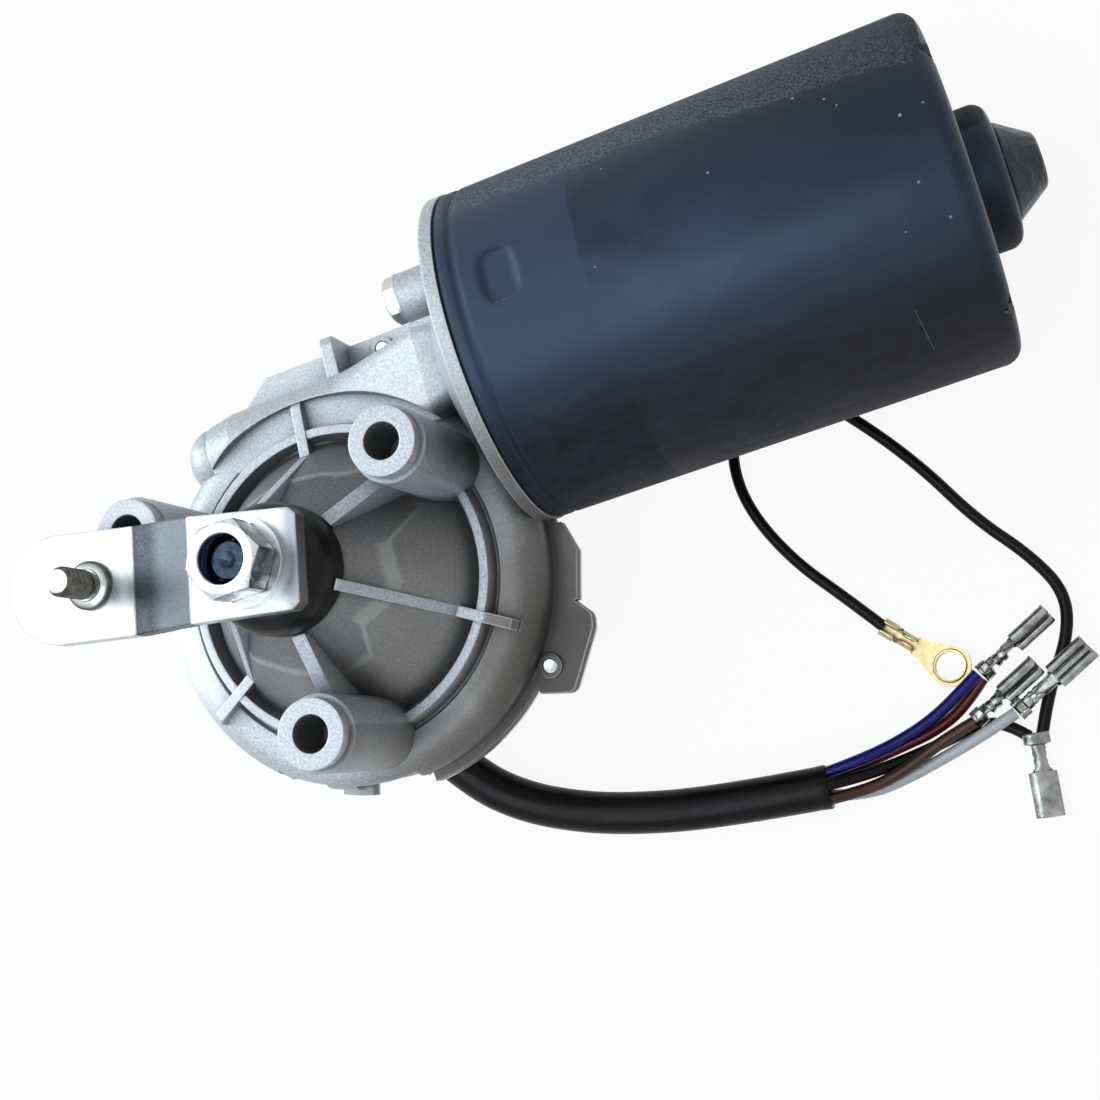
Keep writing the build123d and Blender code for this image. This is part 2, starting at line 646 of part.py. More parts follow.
commutator_x = can_front_x + 5.0
with BuildPart() as commutator:
    with BuildSketch(across_motor(commutator_x)):
        Circle(13.0)
        Circle(worm_root_r, mode=Mode.SUBTRACT)
        with PolarLocations(13.0, slot_count):
            Rectangle(2.0, 0.8, mode=Mode.SUBTRACT)
    extrude(amount=15.0)
save(commutator, "commutator")

# ================================================================ brush gear and bearings
with BuildPart() as brush_plate:
    with BuildSketch(across_motor(commutator_x - 1.5)):
        Circle(case_inner_r - running)
        Circle(14.5, mode=Mode.SUBTRACT)
        with Locations(*bolt_spots):
            Circle(4.0, mode=Mode.SUBTRACT)
    extrude(amount=2.0)
    for side in (45.0, 225.0):
        with BuildSketch(across_motor(commutator_x + 0.5)):
            with Locations(Rot(0, 0, side) * Location((26.0, 0))):
                Rectangle(20.0, 10.0)
                Rectangle(20.0, 7.0, mode=Mode.SUBTRACT)
        extrude(amount=12.0)
save(brush_plate, "brush_plate")

with BuildPart() as brushes:
    for side in (45.0, 225.0):
        with BuildSketch(across_motor(commutator_x + 2.5)):
            with Locations(Rot(0, 0, side) * Location((20.8, 0))):
                Rectangle(15.0, 6.8)
        extrude(amount=9.0)
save(brushes, "brushes")

with BuildPart() as front_bearing:
    with BuildSketch(across_motor(bearing_x)):
        Circle(bearing_r)
        Circle(worm_root_r + running, mode=Mode.SUBTRACT)
    extrude(amount=bearing_length - 1.5)
save(front_bearing, "front_bearing")

with BuildPart() as rear_bush:
    with BuildSketch(across_motor(can_rear_x - 0.5)):
        Circle(nose_r - can_wall)
        Circle(journal_r + running, mode=Mode.SUBTRACT)
    extrude(amount=nose_length - can_wall - 1.5)
save(rear_bush, "rear_bush")

with BuildPart() as rear_cap:
    with BuildSketch(Plane.XY.offset(worm_z)):
        with BuildLine():
            Polyline((can_rear_x + nose_length, worm_y), (can_rear_x + nose_length, worm_y + 13.2),
                     (can_rear_x + nose_length + 0.9, worm_y + 13.2),
                     (can_rear_x + nose_length + 9.0, worm_y + 7.4),
                     (can_rear_x + nose_length + 9.6, worm_y + 6.4),
                     (can_rear_x + nose_length + 9.6, worm_y), (can_rear_x + nose_length, worm_y))
        make_face()
    revolve(axis=Axis((0, worm_y, worm_z), (1, 0, 0)))
save(rear_cap, "rear_cap")

bolt_seat_x = bell_x - 0.5
bolt_head_h = 4.2
with BuildPart() as case_bolts:
    with BuildSketch(across_motor(bolt_seat_x - bolt_head_h)):
        with Locations(*bolt_spots):
            RegularPolygon(5.8, 6)
    extrude(amount=bolt_head_h)
    with BuildSketch(across_motor(bolt_seat_x)):
        with Locations(*bolt_spots):
            Circle(bolt_r)
    extrude(amount=lug_x + lug_length - bolt_seat_x)
save(case_bolts, "case_bolts")

with BuildPart() as thrust_plug:
    with BuildSketch(across_motor(tube_end_x - 4.0)):
        Circle(tube_bore_r)
    extrude(amount=5.0)
save(thrust_plug, "thrust_plug")

# ================================================================ crank
plate_top = crank_top_z
arm_top = 7.2
arm_bottom = arm_top - crank_thickness
stud_collar_top = arm_top + 2.6
stud_tip_z = stud_collar_top + 12.4
arm_end = crank_throw + 24.5
nut_top = tip_z + 5.0
washer_t = 2.6
nut_h = nut_top - plate_top - washer_t
stud_r = 4.0
bend_start, bend_end = 15.0, 36.0
hub_bend_r, arm_bend_r = 1.2, 18.0

with BuildPart() as crank_arm:
    # Side profile of the cranked bar, then its outline seen from above
    with BuildSketch(Plane.XZ) as crank_side:
        Polygon(
            (-15.0, plate_top - crank_thickness), (-15.0, plate_top), (bend_start, plate_top),
            (bend_end, arm_top), (arm_end, arm_top), (arm_end, arm_bottom), (bend_end - 1.0, arm_bottom),
            (bend_start - 1.0, plate_top - crank_thickness), align=None,
        )
        fillet(crank_side.vertices().sort_by(Axis.X)[4:6], arm_bend_r)
        fillet(crank_side.vertices().sort_by(Axis.X)[2:4], hub_bend_r)
    extrude(amount=16.0, both=True)
    with BuildSketch(Plane.XY):
        with BuildLine():
            Polyline((-14.5, -11.0), (-12.5, -12.8), (14.0, -13.6), (bend_end, -14.3), (arm_end - 14.0, -14.6))
            ThreePointArc((arm_end - 14.0, -14.6), (arm_end, 0.0), (arm_end - 14.0, 14.6))
            Polyline((arm_end - 14.0, 14.6), (bend_end, 14.3), (14.0, 13.6), (-12.5, 12.8), (-14.5, 11.0),
                     (-14.5, -11.0))
        make_face()
    extrude(amount=20.0, mode=Mode.INTERSECT)
    with BuildSketch(Plane.XY.offset(plate_top - crank_thickness)):
        Circle(shaft_radius)
    extrude(amount=crank_thickness, taper=degrees(atan(1.0 / crank_thickness)), mode=Mode.SUBTRACT)
    with BuildSketch(Plane.XY):
        with Locations((crank_throw, 0)):
            Circle(stud_r)
    extrude(amount=20.0, mode=Mode.SUBTRACT)
crank_arm.part = crank_arm.part.rotate(Axis.Z, crank_angle)
save(crank_arm, "crank_arm")

stud_x, stud_y, _ = at_angle(crank_throw, crank_angle)
with BuildPart() as crank_stud:
    with BuildSketch(Plane.XY.offset(arm_bottom)):
        with Locations((stud_x, stud_y)):
            Circle(stud_r)
    extrude(amount=stud_tip_z - arm_bottom)
    chamfer(crank_stud.edges().group_by(Axis.Z)[-1], 0.8)
    with BuildSketch(Plane.XY.offset(arm_top)):
        with Locations((stud_x, stud_y)):
            Circle(6.5)
    extrude(amount=stud_collar_top - arm_top)
save(crank_stud, "crank_stud")

with BuildPart() as crank_washer:
    with BuildSketch(Plane.XY.offset(plate_top)):
        Circle(11.5)
        Circle(6.0 + running, mode=Mode.SUBTRACT)
    extrude(amount=washer_t)
save(crank_washer, "crank_washer")

with BuildPart() as crank_nut:
    with BuildSketch(Plane.XY.offset(plate_top + washer_t)):
        RegularPolygon(9.0, 6, major_radius=False)
        Circle(6.0, mode=Mode.SUBTRACT)
    extrude(amount=nut_h)
    with BuildSketch(Plane.XZ):
        Polygon((0, plate_top), (14.0, plate_top), (14.0, nut_top - 2.6), (8.6, nut_top), (0, nut_top), align=None)
    revolve(axis=Axis.Z, mode=Mode.INTERSECT)
save(crank_nut, "crank_nut")

# ================================================================ loom
cord_lift = 0.1
wire_z = floor_z + wire_radius + cord_lift
wire_over_z = wire_z + 2 * wire_radius + 0.4      # a wire that lies on another
wire_high_z = wire_over_z + 1.0
sheath_z = floor_z + sheath_radius + cord_lift


def round_route(points, label):
    """Straight runs joined by tangent arcs; the radius at a corner follows its shorter run."""
    spots = [Vector(*point) for point in points]
    radii = []
    with BuildLine() as route:
        start = spots[0]
        for before, corner, after in zip(spots, spots[1:], spots[2:]):
            come, leave = corner - before, after - corner
            half_turn = radians(come.get_angle(leave)) / 2
            cut = 0.45 * min(come.length, leave.length)
            arc_in = corner - come.normalized() * cut
            arc_out = corner + leave.normalized() * cut
            Line(start, arc_in)
            TangentArc(arc_in, arc_out, tangent=come)
            radii.append(cut / tan(half_turn))
            start = arc_out
        Line(start, spots[-1])
    print(f"{label:20s} corner radii " + " ".join(f"{radius:.0f}" for radius in radii))
    return route.wire()


def cord(points, radius, label):
    """A round cord along a route, saved under its label."""
    path = round_route(points, label)
    with BuildPart() as piece:
        with BuildSketch(Plane(origin=path @ 0, z_dir=path % 0)):
            Circle(radius)
        sweep(path=path)
    expected = pi * radius ** 2 * path.length
    print(f"{label:20s} volume / (section x length) = {piece.part.volume / expected:.3f}")
    save(piece, label)


sheath_start = exit_point + exit_direction * grommet_reach
sheath_lead_in = sheath_start + exit_direction * 11.5
sheath_points = [tuple(sheath_start), tuple(sheath_lead_in), (15.5, -68.6, -93.3), (27.5, -75.6, sheath_z),
                 (46.0, -82.4, sheath_z), (75.0, -88.2, sheath_z), (106.8, -90.8, sheath_z)]
cord(sheath_points, sheath_radius, "cable_sheath")

# Wires leave the cut end of the sheath around its middle
wire_routes = {
    "wire_red": [(107.6, -88.9, -98.2), (118.0, -87.6, -99.0), (130.0, -85.6, wire_z), (141.0, -83.9, wire_z),
                 (150.6, -79.9, wire_z), (158.0, -73.4, -98.3)],
    "wire_blue": [(107.7, -87.0, -93.9), (118.0, -86.2, -94.3), (129.0, -84.4, wire_over_z),
                  (139.5, -81.4, wire_over_z), (148.6, -77.0, wire_over_z), (157.2, -71.8, -95.3)],
    "wire_black": [(107.6, -90.3, -90.8), (118.0, -90.6, -94.8), (130.0, -89.5, wire_z), (142.5, -87.6, wire_z),
                   (154.0, -85.2, wire_z), (161.0, -87.6, wire_z), (165.2, -92.4, wire_z)],
    "wire_brown": [(107.3, -94.3, -92.9), (119.0, -94.8, -95.8), (131.0, -91.8, -96.0), (142.5, -87.0, wire_over_z),
                   (152.5, -84.4, wire_high_z)],
    "wire_white": [(107.4, -93.5, -97.3), (118.0, -96.0, wire_z), (130.0, -94.4, wire_z), (141.0, -91.8, -98.6),
                   (152.5, -88.8, -95.6), (163.8, -85.1, wire_over_z)],
}
for wire_label, wire_points in wire_routes.items():
    cord(wire_points, wire_radius, wire_label)

lead_points = [(136.2, -51.6, wire_z), (128.2, -40.3, wire_z), (117.0, -25.5, wire_z), (109.0, -8.0, wire_z),
               (107.5, 7.0, wire_z), (112.5, 22.5, wire_z), (130.5, 27.0, wire_z), (146.0, 9.7, wire_z),
               (159.5, -9.5, wire_z), (169.8, -29.6, wire_z), (180.6, -43.8, wire_z), (186.6, -56.6, wire_z),
               (183.6, -68.6, wire_z), (173.8, -81.8, wire_z), (168.6, -92.8, wire_z)]
cord(lead_points, wire_radius, "ground_lead")

with BuildPart() as cable_grommet:
    with BuildSketch(exit_plane):
        Circle(grommet_r)
    extrude(amount=-12.0)
    add(cover_body.part, mode=Mode.SUBTRACT)
    with BuildSketch(exit_plane):
        Circle(grommet_neck_r)
    extrude(amount=-9.5)
save(cable_grommet, "cable_grommet")

# ---------------------------------------------------------------- terminals
terminal_sheet = 0.8
receptacle_width, receptacle_height = 7.4, 3.2


def receptacle(origin, heading, length, label, roll=0.0, grip=2.8):
    """Push-on receptacle with an open crimp; x runs from the wire end to the mouth."""
    box_start = length - 12.5
    with BuildPart() as piece:
        # Crimp that grips the conductor, then the neck
        with BuildSketch(Plane.YZ):
            SlotOverall(2 * grip, 2 * (wire_radius + terminal_sheet))
            with Locations((0, wire_radius + 0.6)):
                Rectangle(1.6, 2.4, mode=Mode.SUBTRACT)
        extrude(amount=4.5)
        with BuildSketch(Plane.YZ.offset(4.0)):
            with Locations((0, (terminal_sheet - receptacle_height) / 2)):
                Rectangle(3.4, terminal_sheet)
        extrude(amount=box_start - 3.5)
        with BuildSketch(Plane.YZ.offset(6.5)):
            Circle(1.9)
        extrude(amount=6.0)
        # Folded box with a slot between the two rolled edges
        with BuildSketch(Plane.YZ.offset(box_start)):
            Rectangle(receptacle_width, receptacle_height)
            Rectangle(receptacle_width - 2 * terminal_sheet, receptacle_height - 2 * terminal_sheet,
                      mode=Mode.SUBTRACT)
            with Locations((0, receptacle_height / 2)):
                Rectangle(1.6, 2.0, mode=Mode.SUBTRACT)
        extrude(amount=12.5)
    piece.part = piece.part.moved(Location(origin, (0, 0, heading)) * Location((0, 0, 0), (roll, 0, 0)))
    save(piece, label)


double_grip = 3.0             # half width of a crimp that takes two wires
receptacle((158.1, -72.3, -96.8), 26.6, 25.0, "terminal_blue", roll=60.0, grip=double_grip)
receptacle((152.7, -84.3, wire_high_z), 26.6, 23.0, "terminal_brown", roll=60.0)
receptacle((164.1, -84.9, wire_over_z), 26.8, 26.5, "terminal_white")
receptacle((166.7, -94.0, wire_z + 0.9), -97.4, 21.0, "terminal_black", grip=double_grip)

ring_x, ring_y = 150.9, -67.9
eye_r, eye_hole_r, eye_sheet = 5.9, 4.2, 1.2
lead_end_x, lead_end_y = 136.2, -51.6
with BuildPart() as ring_terminal:
    eye_span = hypot(ring_x - lead_end_x, ring_y - lead_end_y)
    with BuildSketch(Plane.XY.offset(-wire_radius - cord_lift)):
        with Locations((eye_span, 0)):
            Circle(eye_r)
        Polygon((9.0, -2.6), (9.0, 2.6), (eye_span - 2.2, 5.5), (eye_span - 2.2, -5.5), align=None)
        with Locations((eye_span, 0)):
            Circle(eye_hole_r, mode=Mode.SUBTRACT)
    extrude(amount=eye_sheet)
    with BuildSketch(Plane.YZ.offset(0.4)):
        Circle(wire_radius + terminal_sheet)
    extrude(amount=10.2)
    with BuildSketch(Plane.XY.offset(-wire_radius - cord_lift - 5)):
        Rectangle(60.0, 20.0)
    extrude(amount=5.0, mode=Mode.SUBTRACT)
eye_heading = degrees(atan((ring_y - lead_end_y) / (ring_x - lead_end_x)))
ring_terminal.part = ring_terminal.part.moved(Location((lead_end_x, lead_end_y, wire_z), (0, 0, eye_heading)))
save(ring_terminal, "ring_terminal")
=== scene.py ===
import json
import math

import bmesh
import bpy
from mathutils import Matrix, Vector
from mathutils.geometry import tessellate_polygon


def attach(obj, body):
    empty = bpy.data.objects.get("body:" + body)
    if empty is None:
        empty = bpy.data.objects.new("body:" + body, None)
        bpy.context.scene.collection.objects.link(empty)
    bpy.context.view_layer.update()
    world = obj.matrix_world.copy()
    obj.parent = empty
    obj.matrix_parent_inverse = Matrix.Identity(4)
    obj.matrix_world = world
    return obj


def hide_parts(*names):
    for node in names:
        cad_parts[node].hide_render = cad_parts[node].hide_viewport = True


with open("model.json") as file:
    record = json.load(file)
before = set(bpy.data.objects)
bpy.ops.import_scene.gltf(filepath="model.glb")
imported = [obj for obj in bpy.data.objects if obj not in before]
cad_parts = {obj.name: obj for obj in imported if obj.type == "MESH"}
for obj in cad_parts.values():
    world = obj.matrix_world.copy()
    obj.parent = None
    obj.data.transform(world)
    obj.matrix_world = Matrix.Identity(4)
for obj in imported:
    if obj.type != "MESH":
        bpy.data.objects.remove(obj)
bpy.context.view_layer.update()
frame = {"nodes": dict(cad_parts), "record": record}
nodes = frame["nodes"]
scene = bpy.context.scene

# Millimetres, unless a name or a shader says otherwise: shader nodes see the object in metres
MM = 0.001
FLOOR_Z = -101.3
MOTOR_Y, MOTOR_Z, CAN_R = 49.0, -53.0, 48.0


# ---------------------------------------------------------------- shader helpers
class Look:
    """One procedural material: nodes are added by kind, with their inputs by name."""

    def __init__(self, name, **sockets):
        self.material = bpy.data.materials.new(name)
        self.material.use_nodes = True
        self.tree = self.material.node_tree
        self.shader = self.tree.nodes["Principled BSDF"]
        self.place = self.add("TexCoord").outputs["Object"]
        for socket, value in sockets.items():
            self.feed(self.shader.inputs[socket.replace("_", " ")], value)

    def feed(self, socket, value):
        if isinstance(value, bpy.types.NodeSocket):
            self.tree.links.new(value, socket)
        elif socket.type == "RGBA" and len(value) == 3:
            socket.default_value = (*value, 1.0)
        else:
            socket.default_value = value

    def add(self, kind, settings=None, **inputs):
        node = self.tree.nodes.new("ShaderNode" + kind)
        for key, value in (settings or {}).items():
            setattr(node, key, value)
        for key, value in inputs.items():
            self.feed(node.inputs[int(key[1:]) if key[1:].isdigit() else key.replace("_", " ")], value)
        return node

    def noise(self, scale, detail=3.0, rough=0.5, place=None, distortion=0.0):
        node = self.add("TexNoise", Vector=place or self.place, Scale=scale, Detail=detail,
                        Roughness=rough, Distortion=distortion)
        return node.outputs["Fac"]

    def math(self, operation, a, b=0.0, clamp=False):
        return self.add("Math", {"operation": operation, "use_clamp": clamp}, i0=a, i1=b).outputs[0]

    def band(self, value, low, high, start=0.0, end=1.0):
        """Maps value from low..high to start..end, held at both ends."""
        return self.add("MapRange", Value=value, From_Min=low, From_Max=high, To_Min=start,
                        To_Max=end).outputs["Result"]

    def mix(self, fac, a, b):
        """Colour mix of a and b by fac."""
        node = self.add("Mix", {"data_type": "RGBA"})
        self.feed(node.inputs[0], fac)
        self.feed(node.inputs[6], a)
        self.feed(node.inputs[7], b)
        return node.outputs[2]

    def stretch(self, x, y, z):
        return self.add("Mapping", Vector=self.place, Scale=(x, y, z)).outputs["Vector"]

    def axis(self, name):
        return self.add("SeparateXYZ", Vector=self.place).outputs[name]

    def normal_axis(self, name):
        normal = self.add("TexCoord").outputs["Normal"]
        return self.add("SeparateXYZ", Vector=normal).outputs[name]

    def edges(self, radius):
        """0 on flats, rising towards edges within the radius."""
        bevel = self.add("Bevel", {"samples": 4}, Radius=radius).outputs["Normal"]
        plain = self.add("NewGeometry").outputs["Normal"]
        dot = self.add("VectorMath", {"operation": "DOT_PRODUCT"}, i0=bevel, i1=plain).outputs["Value"]
        return self.math("SUBTRACT", 1.0, dot)

    def bump(self, *layers, soften=None):
        """Bump from (height, strength, distance) layers, over edges softened by a bevel radius."""
        normal = None
        if soften:
            normal = self.add("Bevel", {"samples": 3}, Radius=soften).outputs["Normal"]
        for height, strength, distance in layers:
            node = self.add("Bump", Height=height, Strength=strength, Distance=distance)
            if normal:
                self.feed(node.inputs["Normal"], normal)
            normal = node.outputs["Normal"]
        self.feed(self.shader.inputs["Normal"], normal)

    def set(self, **sockets):
        for socket, value in sockets.items():
            self.feed(self.shader.inputs[socket.replace("_", " ")], value)


def cast_look():
    """Die-cast aluminium: fine bright grain, a dark as-cast finish on the panels with painted shade and painted
    highlight bands on them, painted shade in hollows and on the side away from the crank, painted light on the side
    towards it, and lighter rubbed edges that also stand in for painted edge highlights.
    """
    look = Look("cast_aluminium", Metallic=0.45, IOR=1.5)
    grain = look.noise(1300.0, 4.0, 0.75)
    blotch = look.noise(70.0, 4.0, 0.6)
    stain = look.noise(22.0, 3.0, 0.55)
    hollow = look.add("AmbientOcclusion", {"samples": 6}, Distance=0.012).outputs["AO"]
    from_axis = look.add("VectorMath", {"operation": "LENGTH"}, i0=look.stretch(1.0, 1.0, 0.0)).outputs["Value"]
    x, y, z = (look.axis(name) for name in "XYZ")
    panel = look.math("MAXIMUM", look.band(from_axis, 0.0172, 0.041, -0.009, -0.045), -0.045)
    painted_facet_light = look.add("Attribute", {"attribute_name": "painted_facet_light"}).outputs["Fac"]
    pocket = look.band(look.math("SUBTRACT", z, panel), 0.0004, 0.0008, 1.0, 0.0)
    pocket = look.math("MAXIMUM", pocket, look.band(painted_facet_light, 0.4, 0.6))
    pocket = look.math("MULTIPLY", pocket, look.band(from_axis, 0.0434, 0.0424))
    pocket = look.math("MULTIPLY", pocket, look.band(z, -0.0475, -0.0465))
    across = look.math("SUBTRACT", x, look.math("MULTIPLY", y, 0.8))
    ragged = look.math("ADD", across, look.band(stain, 0.3, 0.7, -0.012, 0.012))
    # Painted shade on the outer wall across the side away from the crank: warm brown, darker farthest across, with a
    # ragged edge from a stain noise.
    outside = look.math("MULTIPLY", look.band(from_axis, 0.0448, 0.0458), look.band(z, -0.002, -0.004))
    shaded_side = look.math("MULTIPLY", look.band(ragged, 0.018, 0.06, 0.0, 0.78), outside)
    far_shaded_side = look.math("MULTIPLY", look.band(ragged, 0.058, 0.082, 0.0, 0.7), outside)
    base = look.mix(look.band(grain, 0.3, 0.7), (0.26, 0.285, 0.31), (0.69, 0.74, 0.79))
    base = look.mix(look.band(blotch, 0.35, 0.7, 0.0, 0.3), base, (0.46, 0.465, 0.48))
    # Painted light: the side towards the crank is lightened, fading out above y = 18 to 30 mm.
    lit_side = look.math("MULTIPLY", look.band(ragged, -0.015, -0.045, 0.0, 0.6), look.band(y, 0.03, 0.018))
    base = look.mix(lit_side, base, (0.9, 0.93, 0.95))
    # The panels' dark as-cast finish, with painted shade that makes it near-black teal on the side towards the crank,
    # and the facets' painted highlight bands along the creases.
    skin_and_painted_light = look.mix(look.band(across, -0.014, 0.012), (0.014, 0.024, 0.032), (0.17, 0.166, 0.16))
    skin_and_painted_light = look.mix(look.band(painted_facet_light, 1.0, 2.0), skin_and_painted_light, (0.42, 0.42, 0.41))
    base = look.mix(look.math("MULTIPLY", pocket, look.band(grain, 0.3, 0.7, 0.94, 0.74)), base, skin_and_painted_light)
    base = look.mix(shaded_side, base, (0.10, 0.078, 0.054))
    base = look.mix(far_shaded_side, base, (0.03, 0.026, 0.02))
    # Painted shade: darker in hollows and recesses, from ambient occlusion.
    base = look.mix(look.band(hollow, 0.35, 0.85, 0.75, 0.0), base, (0.08, 0.078, 0.075))
    # Lighter rubbed edges, kept out of the hollows; they also stand in for painted edge highlights.
    wear_and_painted_light = look.math("MULTIPLY", look.band(look.edges(0.0009), 0.03, 0.15, 0.0, 0.65), look.band(hollow, 0.6, 0.85))
    base = look.mix(wear_and_painted_light, base, (0.88, 0.9, 0.93))
    rough = look.band(grain, 0.25, 0.75, 0.4, 0.6)
    look.set(Base_Color=base, Roughness=rough)
    look.bump((grain, 0.5, 0.00022), (blotch, 0.12, 0.0004), soften=0.0009)
    return look.material


def paint_look():
    """Satin blue-black paint over drawn steel: dust on the upper side, a flatter band in front, smudges, and painted
    shade on the upper rear side, towards the rear end and on the lower side.
    """
    look = Look("black_paint", IOR=1.5, Specular_Tint=(0.6, 0.79, 1.0), Specular_IOR_Level=0.4)
    x = look.axis("X")
    up = look.normal_axis("Y")
    orange = look.noise(900.0, 2.0, 0.5)
    cloud = look.noise(26.0, 4.0, 0.6)
    smudge = look.noise(45.0, 3.0, 0.5, look.stretch(0.7, 1.0, 1.0), 0.4)
    ragged = look.noise(150.0, 5.0, 0.75, look.stretch(0.5, 1.0, 1.0), 0.6)
    fine = look.noise(1500.0, 3.0, 0.8)
    edge = look.band(x, 0.121, 0.194, 0.60, 0.40)
    above = look.math("SUBTRACT", look.math("ADD", up, look.band(ragged, 0.2, 0.8, -0.09, 0.09)), edge)
    dust = look.math("MULTIPLY", look.band(above, 0.0, 0.02), look.band(fine, 0.42, 0.66, 0.06, 1.0))
    dust = look.math("MULTIPLY", dust, look.band(x, 0.13, 0.19, 1.0, 0.55))
    # Painted shade: the lower side darker and warm brown; it is also made rougher.
    under = look.math("MULTIPLY", look.band(up, -0.35, -0.75), look.band(ragged, 0.3, 0.6, 0.7, 1.0))
    shaded = look.math("MULTIPLY", look.band(up, 0.0, 0.4), look.band(x, 0.098, 0.17, 0.35, 1.0))
    front = look.band(x, 0.0999, 0.0995)
    base = look.mix(look.band(cloud, 0.35, 0.65), (0.008, 0.013, 0.023), (0.019, 0.030, 0.055))
    base = look.mix(look.band(smudge, 0.55, 0.68, 0.0, 0.5), base, (0.034, 0.050, 0.085))
    base = look.mix(shaded, base, (0.0008, 0.0012, 0.003))
    # Painted shade: darker towards the rear end.
    base = look.mix(look.band(x, 0.125, 0.19, 0.0, 0.6), base, (0.004, 0.006, 0.011))
    base = look.mix(look.math("MULTIPLY", front, 0.6), base, (0.032, 0.046, 0.08))
    base = look.mix(under, base, (0.008, 0.005, 0.004))
    base = look.mix(dust, base, (0.19, 0.20, 0.22))
    rough = look.band(cloud, 0.3, 0.7, 0.32, 0.40)
    rough = look.math("ADD", rough, look.math("MULTIPLY", front, 0.1))
    matt = look.math("MAXIMUM", under, look.band(above, 0.0, 0.03))
    rough = look.math("ADD", rough, look.math("MULTIPLY", matt, 0.4), True)
    look.set(Base_Color=base, Roughness=rough)
    look.bump((orange, 0.06, 0.0001), (ragged, 0.05, 0.0001), (look.math("MULTIPLY", fine, dust), 0.5, 0.00015),
              soften=look.band(x, 0.0995, 0.0915, 0.0014, 0.0024))
    return look.material


def plate_look():
    """Bright zinc on the crank; its sloping web has a duller, rougher grain and painted shade, and its rolled edge
    painted shade.
    """
    look = Look("plated_plate", Metallic=1.0)
    grain = look.noise(1500.0, 4.0, 0.7)
    smear = look.noise(120.0, 4.0, 0.65)
    along = look.math("ADD", look.math("MULTIPLY", look.axis("X"), -0.98), look.math("MULTIPLY", look.axis("Y"), 0.198))
    web = look.math("MULTIPLY", look.band(along, 0.0150, 0.0164), look.band(along, 0.0362, 0.0350))
    base = look.mix(look.band(grain, 0.3, 0.7), (0.39, 0.415, 0.43), (0.51, 0.535, 0.55))
    # The sloping web: painted shade darkens it, most of all towards its left fold; its roughness is raised too.
    wear_and_painted_light = look.mix(look.band(smear, 0.35, 0.65), (0.06, 0.07, 0.077), (0.078, 0.092, 0.1))
    wear_and_painted_light = look.mix(look.band(along, 0.0255, 0.0295, 0.0, 0.85), wear_and_painted_light, (0.012, 0.016, 0.018))
    base = look.mix(look.math("MULTIPLY", web, look.band(grain, 0.3, 0.7, 1.0, 0.92)), base, wear_and_painted_light)
    # Painted shade along the rolled edge.
    rolled = look.band(along, -0.0095, -0.0125, 0.0, 0.75)
    base = look.mix(rolled, base, (0.16, 0.185, 0.2))
    look.set(Base_Color=base, Roughness=look.math("ADD", look.band(smear, 0.3, 0.7, 0.28, 0.36),
                                                  look.math("MULTIPLY", web, 0.14)))
    look.bump((grain, 0.14, 0.0001), soften=0.0009)
    return look.material


def metal_look(name, dark, light, rough, grain=(1.0, 1.0, 1.0), scale=400.0, bump=0.08, soften=0.0004):
    """A plated, turned or rolled metal with a directional or even grain."""
    look = Look(name, Metallic=1.0)
    streak = look.noise(scale, 3.0, 0.6, look.stretch(*grain))
    patch = look.noise(90.0, 3.0, 0.6)
    base = look.mix(look.band(streak, 0.3, 0.7), dark, light)
    look.set(Base_Color=base, Roughness=look.band(patch, 0.3, 0.7, rough - 0.06, rough + 0.08))
    look.bump((streak, bump, 0.0001), soften=soften)
    return look.material


def soft_look(name, dark, light, rough, scale=350.0, bump=0.1, soften=0.0005, **sockets):
    """Rubber, sleeve, moulded plastic, paper and other matt or glossy non-metals."""
    look = Look(name, **sockets)
    grain = look.noise(scale, 3.0, 0.6)
    patch = look.noise(40.0, 3.0, 0.6)
    look.set(Base_Color=look.mix(look.band(patch, 0.3, 0.7), dark, light),
             Roughness=look.band(grain, 0.3, 0.7, rough - 0.05, rough + 0.06))
    look.bump((grain, bump, 0.0001), soften=soften)
    return look.material


def nut_look():
    """Bright zinc outside, with painted dark reflections streaked on its side faces and painted shade in the threaded
    bore.
    """
    look = Look("zinc_nut", Metallic=1.0)
    streak = look.noise(260.0, 3.0, 0.6, look.stretch(3.0, 3.0, 0.4))
    from_axis = look.add("VectorMath", {"operation": "LENGTH"}, i0=look.stretch(1.0, 1.0, 0.0)).outputs["Value"]
    dark_facet_reflection = look.noise(190.0, 2.0, 0.5, look.stretch(1.0, 1.0, 0.45), 0.8)
    beside = look.band(look.normal_axis("Z"), 0.75, 0.5)
    base = look.mix(look.band(streak, 0.3, 0.7), (0.5, 0.53, 0.55), (0.78, 0.8, 0.82))
    # Painted reflection: dark streaks on the side faces.
    base = look.mix(look.math("MULTIPLY", beside, look.band(dark_facet_reflection, 0.42, 0.56, 0.92, 0.25)), base, (0.05, 0.058, 0.06))
    # Painted shade: the threaded bore near-black blue.
    base = look.mix(look.band(from_axis, 0.0064, 0.0061), base, (0.015, 0.02, 0.045))
    look.set(Base_Color=base, Roughness=look.band(streak, 0.3, 0.7, 0.16, 0.3))
    look.bump((streak, 0.25, 0.0002), soften=0.0003)
    return look.material


